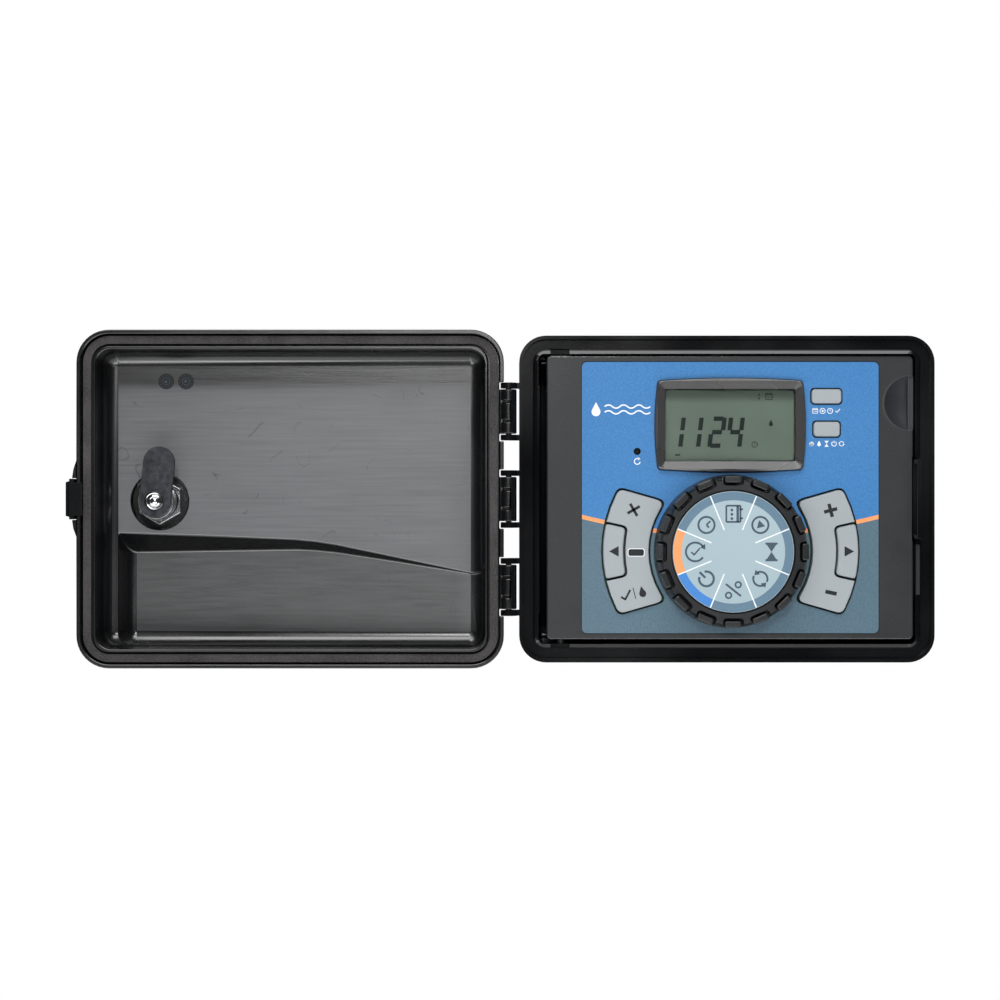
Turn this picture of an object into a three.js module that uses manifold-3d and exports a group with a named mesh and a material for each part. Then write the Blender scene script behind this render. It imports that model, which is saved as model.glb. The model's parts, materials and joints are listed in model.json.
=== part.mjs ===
// Wall-mounted outdoor irrigation controller, shown with its lid swung fully open to the left.
// Millimetres, +Z up. The origin is the middle of the case's back face, on the wall plane.
// Everything is drawn in a front frame: x right, y up, z towards a person standing in front,
// with z = 0 on the case's rim. The last group turns that frame onto the wall.
import * as THREE from 'three';
import { mergeVertices } from 'three/addons/utils/BufferGeometryUtils.js';
import Module from 'manifold-3d';

const wasm = await Module();
wasm.setup();

// ---- driving sizes ----
const GAP = 0.3;
const QUARTER = Math.PI / 2;

const CASE = { halfWidth: 108, halfHeight: 85, depth: 64, corner: 14, wall: 2.5, flange: 6 };
CASE.rim = 10;
CASE.openX = CASE.halfWidth - CASE.rim;
CASE.openY = 75.5;
const RIM_LIP = 1.9;
const RIM_GROOVE_END = 7.2;
const RIM_GROOVE_DEPTH = 2.2;

const HINGE = { x: -113.5, radius: 4.2, pin: 1.5, span: 29.9, ear: 2.9, knuckle: 23 };
HINGE.heights = { top: 45.5, middle: 0, bottom: -45.7 };

const LID = { halfWidth: 111, halfHeight: 88, corner: 17, wall: 2.5, rim: 10, lip: 2.2, lipTop: 2 };
LID.x = 2 * HINGE.x;
LID.left = LID.x - LID.halfWidth;
LID.right = LID.x + LID.halfWidth;
LID.grooveFloor = -3;
LID.upperFloor = -24;
LID.deepFloor = -34;
LID.fillet = 8;
LID.draft = 7.5;
LID.lean = 11;
const STEP = { y: -17.3, bendX: -216, fall: 0.095, stations: 20 };

const LOCK = { x: -298.4, y: -1, recess: 15.2, floor: -27.5, barrel: 9.5, plug: 6, camZ: -8.4 };
LOCK.camLength = 28.6;
LOCK.camWidth = 16.5;
LOCK.camThickness = 2.4;
LOCK.camLean = -6;

const LATCH = { x: -338.6, z: -7.6, halfLength: 10.5, pin: 1.1, lugEnd: 21.4 };
LATCH.bracketBack = -14;

// The terminal board and the four posts it is screwed to.
const BOARD = { left: -33, right: 83, bottom: -13, top: 61, back: -57, front: -55.4 };
const BOARD_POSTS = [[-28, 56], [78, 56], [-28, -8], [78, -8]];

const PANEL = { left: -93.8, right: 97.4, bottom: -73.2, top: 74.8, face: -2, thickness: 2.8 };
PANEL.back = PANEL.face - PANEL.thickness;
PANEL.skirt = -12;
const PIVOT = { x: -86.3, z: -8, radius: 2.2 };
const LABEL = { left: -75.3, right: 79.2, bottom: -69.9, top: 71.4, corner: 2.6, thickness: 0.4 };

const DIAL = { x: 2, y: -27.2, radius: 40, top: 14, disc: 31.2, grips: 16 };
const SCREEN = { x: 1.9, y: 38.5, width: 68, height: 37.7, frameWidth: 78.4, frameHeight: 48.8 };
SCREEN.bow = 1.2;
SCREEN.crest = 0.9;
SCREEN.slope = 4;

// A rocker fills the ring between two radii, with its ends cut on a line that rises outwards.
const ROCKER = { inner: 42.7, outer: 66.4, endHeight: 15.95, endSlope: 0.286 };
const ARROW = { inner: 55.9, outer: 66.4, endHeight: 0, endSlope: 0.222 };
const KEY_CLEARANCE = 0.8;

const BUTTONS = {
  program_button: { x: 52, y: 53.5, width: 15.5, height: 7.5 },
  rain_delay_button: { x: 52.1, y: 36.4, width: 13.7, height: 7.7 },
};
const RESET = { x: -46.5, y: 24.8, radius: 1.3, hole: 1.7 };

// ---- shape helpers ----
function solid(geometry) {
  const bare = geometry.clone();
  bare.deleteAttribute('normal');
  bare.deleteAttribute('uv');
  const merged = mergeVertices(bare, 1e-4);
  const mesh = new wasm.Mesh({
    numProp: 3,
    vertProperties: new Float32Array(merged.attributes.position.array),
    triVerts: new Uint32Array(merged.index.array),
  });
  return new wasm.Manifold(mesh);
}

function geometryOf(body) {
  const mesh = body.getMesh();
  const geometry = new THREE.BufferGeometry();
  geometry.setAttribute('position', new THREE.BufferAttribute(mesh.vertProperties, 3));
  geometry.setIndex(new THREE.BufferAttribute(mesh.triVerts, 1));
  geometry.computeVertexNormals();
  return geometry;
}

function union(bodies) {
  return bodies.reduce((whole, body) => whole.add(body));
}

function cut(body, ...tools) {
  return tools.reduce((rest, tool) => rest.subtract(tool), body);
}

function block(x0, x1, y0, y1, z0, z1) {
  const box = new THREE.BoxGeometry(x1 - x0, y1 - y0, z1 - z0);
  return solid(box.translate((x0 + x1) / 2, (y0 + y1) / 2, (z0 + z1) / 2));
}

// A round bar that runs front to back.
function disc(x, y, radius, z0, z1, sides = 32) {
  const cylinder = new THREE.CylinderGeometry(radius, radius, z1 - z0, sides);
  return solid(cylinder.rotateX(QUARTER).translate(x, y, (z0 + z1) / 2));
}

// A round bar that runs up and down.
function rod(x, z, radius, y0, y1, sides = 20) {
  const cylinder = new THREE.CylinderGeometry(radius, radius, y1 - y0, sides);
  return solid(cylinder.translate(x, (y0 + y1) / 2, z));
}

function roundedRectangle(x0, x1, y0, y1, radius) {
  const shape = new THREE.Shape();
  shape.moveTo(x0 + radius, y0);
  shape.absarc(x1 - radius, y0 + radius, radius, -QUARTER, 0, false);
  shape.absarc(x1 - radius, y1 - radius, radius, 0, QUARTER, false);
  shape.absarc(x0 + radius, y1 - radius, radius, QUARTER, 2 * QUARTER, false);
  shape.absarc(x0 + radius, y0 + radius, radius, 2 * QUARTER, 3 * QUARTER, false);
  return shape;
}

function centredRectangle(x, y, width, height, radius) {
  return roundedRectangle(x - width / 2, x + width / 2, y - height / 2, y + height / 2, radius);
}

function extruded(shape, z0, z1, curveSegments = 5) {
  const options = { depth: z1 - z0, bevelEnabled: false, curveSegments };
  return new THREE.ExtrudeGeometry(shape, options).translate(0, 0, z0);
}

function plate(shape, z0, z1, curveSegments) {
  return solid(extruded(shape, z0, z1, curveSegments));
}

// A plate whose front edge is chamfered by a rounded bevel.
function softPlate(shape, z0, z1, bevel, curveSegments = 5) {
  const geometry = new THREE.ExtrudeGeometry(shape, {
    depth: z1 - z0 - bevel,
    bevelThickness: bevel,
    bevelSize: bevel,
    bevelOffset: -bevel,
    bevelSegments: 2,
    curveSegments,
  });
  const whole = solid(geometry.translate(0, 0, z0));
  return cut(whole, block(-400, 400, -200, 200, z0 - bevel - 1, z0));
}

// The inside of a tray: full outline down to the fillet, then drawn in to a smaller floor.
function trayGeometry(shape, top, floor, fillet, inset, bevelSegments = 2) {
  const geometry = new THREE.ExtrudeGeometry(shape, {
    depth: top - floor - fillet,
    bevelThickness: fillet,
    bevelSize: inset,
    bevelOffset: -inset,
    bevelSegments,
    curveSegments: 5,
  });
  return geometry.translate(0, 0, floor + fillet);
}

function tray(shape, top, floor, fillet, inset) {
  const whole = solid(trayGeometry(shape, top, floor, fillet, inset));
  return cut(whole, block(-400, 400, -200, 200, top, top + fillet + 1));
}

// The flat ring between two insets of one rounded rectangle.
function rimRing(frame, insetOuter, insetInner, z0, z1) {
  const outline = (inset) => centredRectangle(
    frame.x ?? 0,
    0,
    2 * (frame.halfWidth - inset),
    2 * (frame.halfHeight - inset),
    frame.corner - inset,
  );
  return cut(plate(outline(insetOuter), z0, z1), plate(outline(insetInner), z0 - 1, z1 + 1));
}

// Where the sloping end of a key meets a circle about the dial's centre.
function endAngle(radius, height, slope) {
  const run = Math.sqrt(radius ** 2 * (1 + slope ** 2) - height ** 2) - slope * height;
  const x = run / (1 + slope ** 2);
  return Math.atan2(height + slope * x, x);
}

// A key between two arcs about the dial's centre, on its right (side 1) or left (side -1).
function ringKey(key, grow, corner, side) {
  const height = key.endHeight + grow;
  const outer = key.outer + grow;
  const inner = key.inner - grow;
  const outerAngle = endAngle(outer, height, key.endSlope);
  const innerAngle = endAngle(inner, height, key.endSlope);
  const at = (radius, angle) => new THREE.Vector2(Math.cos(angle), Math.sin(angle)).multiplyScalar(radius);
  const shape = new THREE.Shape();
  const outerStop = outerAngle - corner / outer;
  const innerCorner = 1.5 * corner;
  const innerStop = innerAngle - innerCorner / inner;
  const nearOuter = endAngle(outer - corner, height, key.endSlope);
  const nearInner = endAngle(inner + innerCorner, height, key.endSlope);
  shape.absarc(0, 0, outer, -outerStop, outerStop, false);
  const bend = (tip, next) => shape.quadraticCurveTo(tip.x, tip.y, next.x, next.y);
  bend(at(outer, outerAngle), at(outer - corner, nearOuter));
  const turnIn = at(inner + innerCorner, nearInner);
  shape.lineTo(turnIn.x, turnIn.y);
  bend(at(inner, innerAngle), at(inner, innerStop));
  shape.absarc(0, 0, inner, innerStop, -innerStop, true);
  bend(at(inner, -innerAngle), at(inner + innerCorner, -nearInner));
  const turnOut = at(outer - corner, -nearOuter);
  shape.lineTo(turnOut.x, turnOut.y);
  bend(at(outer, -outerAngle), at(outer, -outerStop));
  const points = shape.getPoints(4).map((p) => new THREE.Vector2(DIAL.x + side * p.x, DIAL.y + p.y));
  return new THREE.Shape(points);
}

// ---- materials ----
function material(color, roughness, metalness = 0) {
  return new THREE.MeshStandardMaterial({ color, roughness, metalness });
}

const blackPlastic = material(0x1b1d20, 0.45);
const greyPlastic = material(0x33363a, 0.6);
const keyGrey = material(0xa9b0b3, 0.5);
const dialGrey = material(0x4a4f55, 0.45);
const discBlue = material(0xa9c0c9, 0.5);
const labelBlue = material(0x4284c4, 0.55);
const screenGreen = material(0x6a766c, 0.25);
const clearLens = material(0xc9d2d0, 0.08);
const foamBrown = material(0x5a5552, 0.95);
const darkZinc = material(0x3a3f48, 0.35, 0.9);
const brightMetal = material(0xb9bcc0, 0.25, 1);
const boardGreen = material(0x1f5a38, 0.5);
const terminalGreen = material(0x2f7d4f, 0.5);
const copperWrap = material(0xb8912f, 0.5);
const rubberGrey = material(0x6c7074, 0.85);

const front = new THREE.Group();
const caseGroup = new THREE.Group();
const lidGroup = new THREE.Group();
const panelGroup = new THREE.Group();
front.add(caseGroup, lidGroup, panelGroup);

function addPart(parent, name, body, look) {
  const mesh = new THREE.Mesh(geometryOf(body), look);
  mesh.name = name;
  parent.add(mesh);
}

// ---- case: rim, box, hinge ears and the sockets that the panel turns in ----
function buildCase() {
  const wall = CASE.wall;
  const rimOutline = centredRectangle(0, 0, 2 * CASE.halfWidth, 2 * CASE.halfHeight, CASE.corner);
  const boxOutline = centredRectangle(0, 0, 2 * (CASE.openX + wall), 2 * (CASE.openY + wall), 7);
  const hollowOutline = centredRectangle(0, 0, 2 * CASE.openX, 2 * CASE.openY, 3);
  const shell = [plate(rimOutline, -CASE.flange, 0), tray(boxOutline, -3, -CASE.depth, 3, 3)];
  shell.push(...caseHingeEars());
  const hollow = tray(hollowOutline, 10, wall - CASE.depth, 2.5, 2.5);
  const groove = cut(rimRing(CASE, RIM_LIP, CASE.rim + 1, -RIM_GROOVE_DEPTH, 5), rimIsland());
  let body = cut(union(shell), hollow, groove);
  body = union([body, ...casePosts(), block(-98.5, -97, -60, 60, -20, -18)]);
  const pivotHoles = rod(PIVOT.x, PIVOT.z, PIVOT.radius + 0.4, -90, 90);
  const pivotLimit = block(-120, 120, -77.6, 77.6, -30, 0);
  body = cut(body, pivotHoles.intersect(pivotLimit));
  body = cut(body, ...caseFixingHoles(), ...caseCableHoles());
  const keeperPocket = block(96.9, 100, -20.8, 20.8, -9, 2);
  const keeperNotch = block(97, 101, -21.5, 21.5, -RIM_GROOVE_DEPTH, 2);
  const catchPocket = block(97, 101, -50.1, -23.3, -5, 2);
  const snapNotch = block(PIVOT.x - 5.5, PIVOT.x + 4.5, -78.2, 78.2, -4.2, 2);
  body = cut(body, keeperPocket, keeperNotch, catchPocket, snapNotch);
  for (const height of Object.values(HINGE.heights)) {
    const reach = HINGE.span / 2 + 1;
    body = cut(body, rod(HINGE.x, 0, HINGE.pin + GAP, height - reach, height + reach, 16));
  }
  return body;
}

// What stands inside the rim's groove: its edge rounds up from the groove to the rim.
function rimIsland() {
  const inset = RIM_GROOVE_END;
  const outline = centredRectangle(
    0,
    0,
    2 * (CASE.halfWidth - inset),
    2 * (CASE.halfHeight - inset),
    CASE.corner - inset,
  );
  return softPlate(outline, -RIM_GROOVE_DEPTH - 1, 0, RIM_GROOVE_DEPTH);
}

function caseHingeEars() {
  const ears = [];
  for (const height of Object.values(HINGE.heights)) {
    for (const side of [-1, 1]) {
      const outer = height + (side * HINGE.span) / 2;
      const inner = outer - side * HINGE.ear;
      const low = Math.min(inner, outer);
      const high = Math.max(inner, outer);
      ears.push(rod(HINGE.x, 0, HINGE.radius, low, high, 28));
      ears.push(block(HINGE.x, -CASE.halfWidth + 1, low, high, -5.8, -0.01));
    }
  }
  return ears;
}

// Standoffs on the back wall that carry the terminal board and the transformer.
function casePosts() {
  const floor = CASE.wall - CASE.depth - 0.5;
  return BOARD_POSTS.map(([x, y]) => disc(x, y, 3.2, floor, -57.3, 16));
}

function caseFixingHoles() {
  const through = (x, y, radius) => disc(x, y, radius, -CASE.depth - 2, -58, 20);
  const keyhole = union([through(0, 66, 4.5), block(-2.4, 2.4, 66, 72, -CASE.depth - 2, -58)]);
  return [keyhole, through(-84, -62, 2.6), through(84, -62, 2.6)];
}

const CONDUIT = { x: 52, z: -38, radius: 14 };
const CABLE_ENTRY = { x: -52, z: -38, radius: 9 };

function caseCableHoles() {
  const holes = [CONDUIT, CABLE_ENTRY];
  return holes.map((hole) => rod(hole.x, hole.z, hole.radius + GAP, -90, -70, 32));
}

addPart(caseGroup, 'base_case', buildCase(), blackPlastic);

for (const [place, height] of Object.entries(HINGE.heights)) {
  const half = HINGE.span / 2 - 0.2;
  const pin = rod(HINGE.x, 0, HINGE.pin, height - half, height + half, 16);
  addPart(caseGroup, `hinge_pin_${place}`, pin, brightMetal);
}

// The staple that the cam turns behind.
function buildKeeper() {
  const legs = [-1, 1].map((side) => {
    const y = [side * 18.5, side * 20.5].sort((a, b) => a - b);
    return block(97.2, 99.6, y[0], y[1], -8.7, 11.4);
  });
  return union([...legs, block(97.2, 99.6, -20.5, 20.5, 9.2, 11.4), block(97.2, 99.6, -20.5, 20.5, -8.7, -3)]);
}

addPart(caseGroup, 'lock_keeper', buildKeeper(), material(0x8d9297, 0.4, 0.8));
addPart(caseGroup, 'panel_catch', block(98.2, 100.6, -49.8, -23.6, -4.6, -0.1), rubberGrey);

function buildFlangedBush(entry, flangeRadius, boreRadius, depth) {
  const wallOut = -CASE.openY - CASE.wall;
  const inner = wallOut + CASE.wall + 3;
  const body = rod(entry.x, entry.z, entry.radius, wallOut - GAP, inner, 32);
  const flange = rod(entry.x, entry.z, flangeRadius, wallOut - GAP - 3, wallOut - GAP, 32);
  const bore = rod(entry.x, entry.z, boreRadius, inner - depth, inner + 1, 24);
  return cut(union([body, flange]), bore);
}

addPart(caseGroup, 'conduit_plug', buildFlangedBush(CONDUIT, 17, 11, 6), blackPlastic);
addPart(caseGroup, 'cable_grommet', buildFlangedBush(CABLE_ENTRY, 12, 4.5, 12), rubberGrey);

// ---- wiring bay: transformer, terminal board, terminals and fuse ----
addPart(
  caseGroup,
  'terminal_board',
  block(BOARD.left, BOARD.right, BOARD.bottom, BOARD.top, BOARD.back, BOARD.front),
  boardGreen,
);

BOARD_POSTS.forEach(([x, y], index) => {
  const head = disc(x, y, 2.8, BOARD.front + GAP, BOARD.front + 2.4, 16);
  const slot = block(x - 3, x + 3, y - 0.5, y + 0.5, BOARD.front + 1.5, BOARD.front + 3);
  addPart(caseGroup, `board_screw_${index + 1}`, cut(head, slot), brightMetal);
});

const TERMINALS = { x: -18, y: 36, pitch: 22, width: 20, height: 13, depth: 12, count: 4, ways: 4 };

function buildTerminalBlock(index) {
  const left = TERMINALS.x + index * TERMINALS.pitch;
  const back = BOARD.front + GAP;
  const top = back + TERMINALS.depth;
  const bottom = TERMINALS.y;
  let body = block(left, left + TERMINALS.width, bottom, bottom + TERMINALS.height, back, top);
  const wayPitch = TERMINALS.width / TERMINALS.ways;
  for (let way = 0; way < TERMINALS.ways; way += 1) {
    const x = left + (way + 0.5) * wayPitch;
    const screwWell = disc(x, bottom + 8.5, 1.7, top - 3, top + 1, 12);
    const wireMouth = block(x - 1.5, x + 1.5, bottom - 1, bottom + 5, back + 3, back + 7);
    body = cut(body, screwWell, wireMouth);
  }
  return body;
}

for (let index = 0; index < TERMINALS.count; index += 1) {
  addPart(caseGroup, `terminal_block_${index + 1}`, buildTerminalBlock(index), terminalGreen);
}

const FUSE = { x: 20, y: 8, length: 24 };
function buildFuse() {
  const z = BOARD.front + GAP + 5;
  const tube = new THREE.CylinderGeometry(2.6, 2.6, FUSE.length, 16).rotateZ(QUARTER);
  const glass = solid(tube.translate(FUSE.x, FUSE.y, z));
  const clips = [-9, 9].map((x) => block(FUSE.x + x - 2, FUSE.x + x + 2, 4, 12, z - 5, z + 1));
  return union([glass, ...clips]);
}
addPart(caseGroup, 'fuse', buildFuse(), brightMetal);

const TRANSFORMER = { left: -92, right: -42, bottom: -30, top: 14, back: -60, front: -28 };
function buildCore() {
  const t = TRANSFORMER;
  const stack = block(t.left, t.right, t.bottom, t.top, t.back + 8, t.front - 6);
  const middle = (t.left + t.right) / 2;
  const windows = [-1, 1].map((side) => {
    const x = middle + side * 13;
    return block(x - 6, x + 6, t.bottom + 8, t.top - 8, t.back, t.front);
  });
  return cut(stack, ...windows);
}

// The coil wraps the core's middle leg and stands proud of it in front and behind.
function buildCoil() {
  const t = TRANSFORMER;
  const middle = (t.left + t.right) / 2;
  const low = t.bottom + 8 + GAP;
  const high = t.top - 8 - GAP;
  const outer = plate(centredRectangle(middle, 0, 37, 30, 5), low, high);
  const legHole = block(middle - 7.3, middle + 7.3, -9.3, 9.3, low - 1, high + 1);
  return cut(outer, legHole);
}

function coilInPlace() {
  const t = TRANSFORMER;
  const body = buildCoil();
  return body.rotate([-90, 0, 0]).translate([0, 0, (t.back + t.front) / 2 + 1]);
}

addPart(caseGroup, 'transformer_core', buildCore(), material(0x55585c, 0.45, 0.8));
addPart(caseGroup, 'transformer_coil', coilInPlace(), copperWrap);

// ---- lid ----
// The lower part of the lid's inside is deeper. A slope at 45 degrees leads down to it: its
// upper edge runs level from the lock side and then falls towards the hinges, where the deep
// floor rises to meet the upper one.
function stepEdge(x) {
  const past = x - STEP.bendX;
  return STEP.y - 0.03 * (x - LID.left) - STEP.fall * (past + Math.hypot(past, 16));
}

function deepFloorAt(x) {
  const wall = LID.left + LID.rim;
  const shallow = LID.upperFloor - 0.25;
  return THREE.MathUtils.mapLinear(x, wall + 17, LID.right - LID.rim - 6, LID.deepFloor, shallow);
}

// Everything below the 45 degree slope, as a long bar whose corners follow the edge and floor.
function belowStep(grow) {
  const section = new THREE.Shape([
    new THREE.Vector2(0, 5),
    new THREE.Vector2(0, LID.deepFloor - 1),
    new THREE.Vector2(-100, LID.deepFloor - 1),
    new THREE.Vector2(-100, 5),
  ]);
  const length = 2 * LID.halfWidth;
  const options = { depth: length, bevelEnabled: false, steps: STEP.stations };
  const bar = new THREE.ExtrudeGeometry(section, options).rotateY(QUARTER).rotateX(QUARTER);
  const position = bar.attributes.position;
  bar.computeBoundingBox();
  const { min } = bar.boundingBox;
  for (let i = 0; i < position.count; i += 1) {
    const x = LID.left + position.getX(i) - min.x;
    const far = position.getY(i) < -50;
    const z = position.getZ(i);
    position.setX(i, x);
    position.setY(i, far ? -120 : stepEdge(x) + 0.41 * grow + z - LID.upperFloor);
  }
  return solid(bar);
}

// Leans the lock side's wall in with depth, and lets the floor rise towards the hinges.
function slopedAndLeant(geometry) {
  const position = geometry.attributes.position;
  const { clamp, mapLinear } = THREE.MathUtils;
  const wall = LID.left + LID.rim;
  for (let i = 0; i < position.count; i += 1) {
    const depth = clamp(position.getZ(i) / LID.deepFloor, 0, 1);
    const nearWall = clamp(mapLinear(position.getX(i), wall + 30, wall, 0, 1), 0, 1);
    const x = position.getX(i) + LID.lean * depth * nearWall;
    position.setX(i, x);
    position.setZ(i, (position.getZ(i) * deepFloorAt(x)) / LID.deepFloor);
  }
  return geometry;
}

function lidHollow(grow, top) {
  const outline = centredRectangle(
    LID.x,
    0,
    2 * (LID.halfWidth - LID.rim + grow),
    2 * (LID.halfHeight - LID.rim + grow),
    8 + grow,
  );
  const upper = trayGeometry(outline, top, LID.upperFloor, LID.fillet, LID.draft, 4);
  const deep = trayGeometry(outline, top, LID.deepFloor, LID.fillet, LID.draft, 4);
  const lower = solid(slopedAndLeant(deep)).intersect(belowStep(grow));
  return union([solid(upper), lower]).translate([0, 0, -grow]);
}

function lidKnuckles() {
  const knuckles = [];
  for (const height of Object.values(HINGE.heights)) {
    const low = height - HINGE.knuckle / 2;
    const high = height + HINGE.knuckle / 2;
    const web = block(LID.right - 1, HINGE.x, low, high, -4.1, -0.4);
    const barrel = rod(HINGE.x, 0, HINGE.radius - 0.05, low, high, 28);
    const slits = [-5, 5].map((y) => block(-119, -112.6, height + y - 0.6, height + y + 0.6, 1.9, 6));
    knuckles.push(cut(union([web, barrel]), ...slits));
  }
  return knuckles;
}

function lidEarNotches() {
  const notches = [];
  for (const height of Object.values(HINGE.heights)) {
    for (const side of [-1, 1]) {
      const outer = height + side * (HINGE.span / 2 + 0.5);
      const inner = height + (side * HINGE.knuckle) / 2;
      const low = Math.min(inner, outer);
      const high = Math.max(inner, outer);
      notches.push(block(LID.right - LID.lip - 0.1, LID.right + 20, low, high, -20, 10));
    }
  }
  return notches;
}

// Two lugs that hold the latch's pin, joined behind the latch by a thin plate.
function latchLugs() {
  const bridge = block(-340.4, -334, -LATCH.lugEnd + 4, LATCH.lugEnd - 4, LATCH.bracketBack, -12.5);
  const lugs = [-1, 1].map((side) => {
    const near = side * (LATCH.halfLength + 0.4);
    const far = side * LATCH.lugEnd;
    const outline = new THREE.Shape();
    outline.moveTo(-334, near);
    outline.lineTo(-340.4, near);
    outline.lineTo(-339.7, side * 15.5);
    outline.lineTo(-337.5, far);
    outline.lineTo(-334, far);
    return plate(outline, LATCH.bracketBack, 1.4).subtract(block(-336.9, -300, -30, 30, -4.6, 5));
  });
  return [bridge, ...lugs];
}

function buildLid() {
  const outline = centredRectangle(LID.x, 0, 2 * LID.halfWidth, 2 * LID.halfHeight, LID.corner);
  const flange = plate(outline, LID.grooveFloor - LID.wall, LID.lipTop);
  const dome = cut(lidHollow(LID.wall, -2), block(-400, 0, -200, 200, -3.5, 40));
  const lockBoss = disc(LOCK.x, LOCK.y, LOCK.recess + LID.wall, LOCK.floor - LID.wall, -20, 40);
  const groove = rimRing(LID, LID.lip, 8.4, LID.grooveFloor, 6);
  const ridgeTop = rimRing(LID, 8.3, 12, 1.2, 6);
  const inside = lidHollow(0, 5);
  const lockRecess = disc(LOCK.x, LOCK.y, LOCK.recess, LOCK.floor, 5, 40);
  let body = cut(union([flange, dome, lockBoss]), groove, ridgeTop, inside, lockRecess);
  body = cut(union([body, ...lidKnuckles(), ...latchLugs()]), ...lidEarNotches());
  body = cut(body, disc(LOCK.x, LOCK.y, LOCK.barrel + GAP, -40, 0, 32));
  body = cut(body, rod(LATCH.x, LATCH.z, LATCH.pin + GAP, -20, 20, 12));
  for (const height of Object.values(HINGE.heights)) {
    const reach = HINGE.knuckle / 2 + 0.2;
    body = cut(body, rod(HINGE.x, 0, HINGE.pin + GAP, height - reach, height + reach, 16));
  }
  return body;
}

addPart(lidGroup, 'lid_shell', buildLid(), greyPlastic);
addPart(lidGroup, 'lid_gasket', rimRing(LID, 3.1, 7.3, -2.6, -0.4), foamBrown);

// ---- cam lock ----
function buildBarrel() {
  const body = disc(LOCK.x, LOCK.y, LOCK.barrel, -31, -9.2, 32);
  const face = disc(LOCK.x, LOCK.y, 11.5, -32.2, -LID.wall + LOCK.floor - GAP, 32);
  const bore = disc(LOCK.x, LOCK.y, LOCK.plug + GAP, -40, 0, 28);
  return cut(union([body, face]), bore);
}

function buildNut() {
  const acrossCorners = 25.4;
  const nut = disc(LOCK.x, LOCK.y, acrossCorners / 2, LOCK.floor + GAP, -22.7, 6);
  return cut(nut, disc(LOCK.x, LOCK.y, LOCK.barrel + GAP, -40, 0, 32));
}

function buildCam() {
  const half = LOCK.camWidth / 2;
  const shape = new THREE.Shape();
  shape.absarc(LOCK.x, LOCK.y, half, Math.PI, 2 * Math.PI, false);
  shape.absarc(LOCK.x, LOCK.y + LOCK.camLength - half, half, 0, Math.PI, false);
  const hole = disc(LOCK.x, LOCK.y, 3.2, -20, 0, 20);
  const cam = cut(plate(shape, LOCK.camZ, LOCK.camZ + LOCK.camThickness, 8), hole);
  const aboutLock = [LOCK.x, LOCK.y, 0];
  const aboutOrigin = aboutLock.map((value) => -value);
  return cam.translate(aboutOrigin).rotate([0, 0, LOCK.camLean]).translate(aboutLock);
}

function buildPlug() {
  const plug = disc(LOCK.x, LOCK.y, LOCK.plug, -31.6, LOCK.camZ - GAP, 28);
  const keyway = block(LOCK.x - 0.9, LOCK.x + 0.9, LOCK.y - 4, LOCK.y + 4, -34, -14);
  const screwHole = disc(LOCK.x, LOCK.y, 3.2, -13, 0, 20);
  return cut(plug, keyway, screwHole);
}

function buildCamScrew() {
  const camFront = LOCK.camZ + LOCK.camThickness;
  const head = disc(LOCK.x, LOCK.y, 5.2, camFront + GAP, camFront + 3.2, 24);
  const shank = disc(LOCK.x, LOCK.y, 2.8, -12.6, camFront + 0.5, 16);
  return union([head, shank]);
}

addPart(lidGroup, 'lock_barrel', buildBarrel(), brightMetal);
addPart(lidGroup, 'lock_nut', buildNut(), brightMetal);
addPart(lidGroup, 'lock_plug', buildPlug(), brightMetal);
addPart(lidGroup, 'lock_cam', buildCam(), darkZinc);
addPart(lidGroup, 'lock_cam_screw', buildCamScrew(), brightMetal);

// ---- sprung latch on the lid's free edge ----
function buildLatch() {
  const half = LATCH.halfLength;
  const barrel = rod(LATCH.x, LATCH.z, 1.9, -half, half, 20);
  const arm = block(-340.5, -338.4, -half, half, LATCH.z, 8.4);
  const hook = block(-340.5, -334.2, 2 - half, half - 2, 6.4, 8.4);
  const tabOutline = new THREE.Shape();
  tabOutline.moveTo(-339, half);
  tabOutline.lineTo(-343.8, half - 1.8);
  tabOutline.lineTo(-343.8, 1.8 - half);
  tabOutline.lineTo(-339, -half);
  const tab = softPlate(tabOutline, -10.5, 1, 0.6);
  return cut(union([barrel, arm, hook, tab]), rod(LATCH.x, LATCH.z, LATCH.pin + GAP, -30, 30, 12));
}

addPart(lidGroup, 'door_latch', buildLatch(), blackPlastic);
addPart(lidGroup, 'latch_pin', rod(LATCH.x, LATCH.z, LATCH.pin, -19.5, 19.5, 12), brightMetal);

// ---- control panel ----
const BACK_COVER = { left: -90, right: 92, bottom: -70, top: 71.5, back: -22, front: -10.9 };

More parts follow.
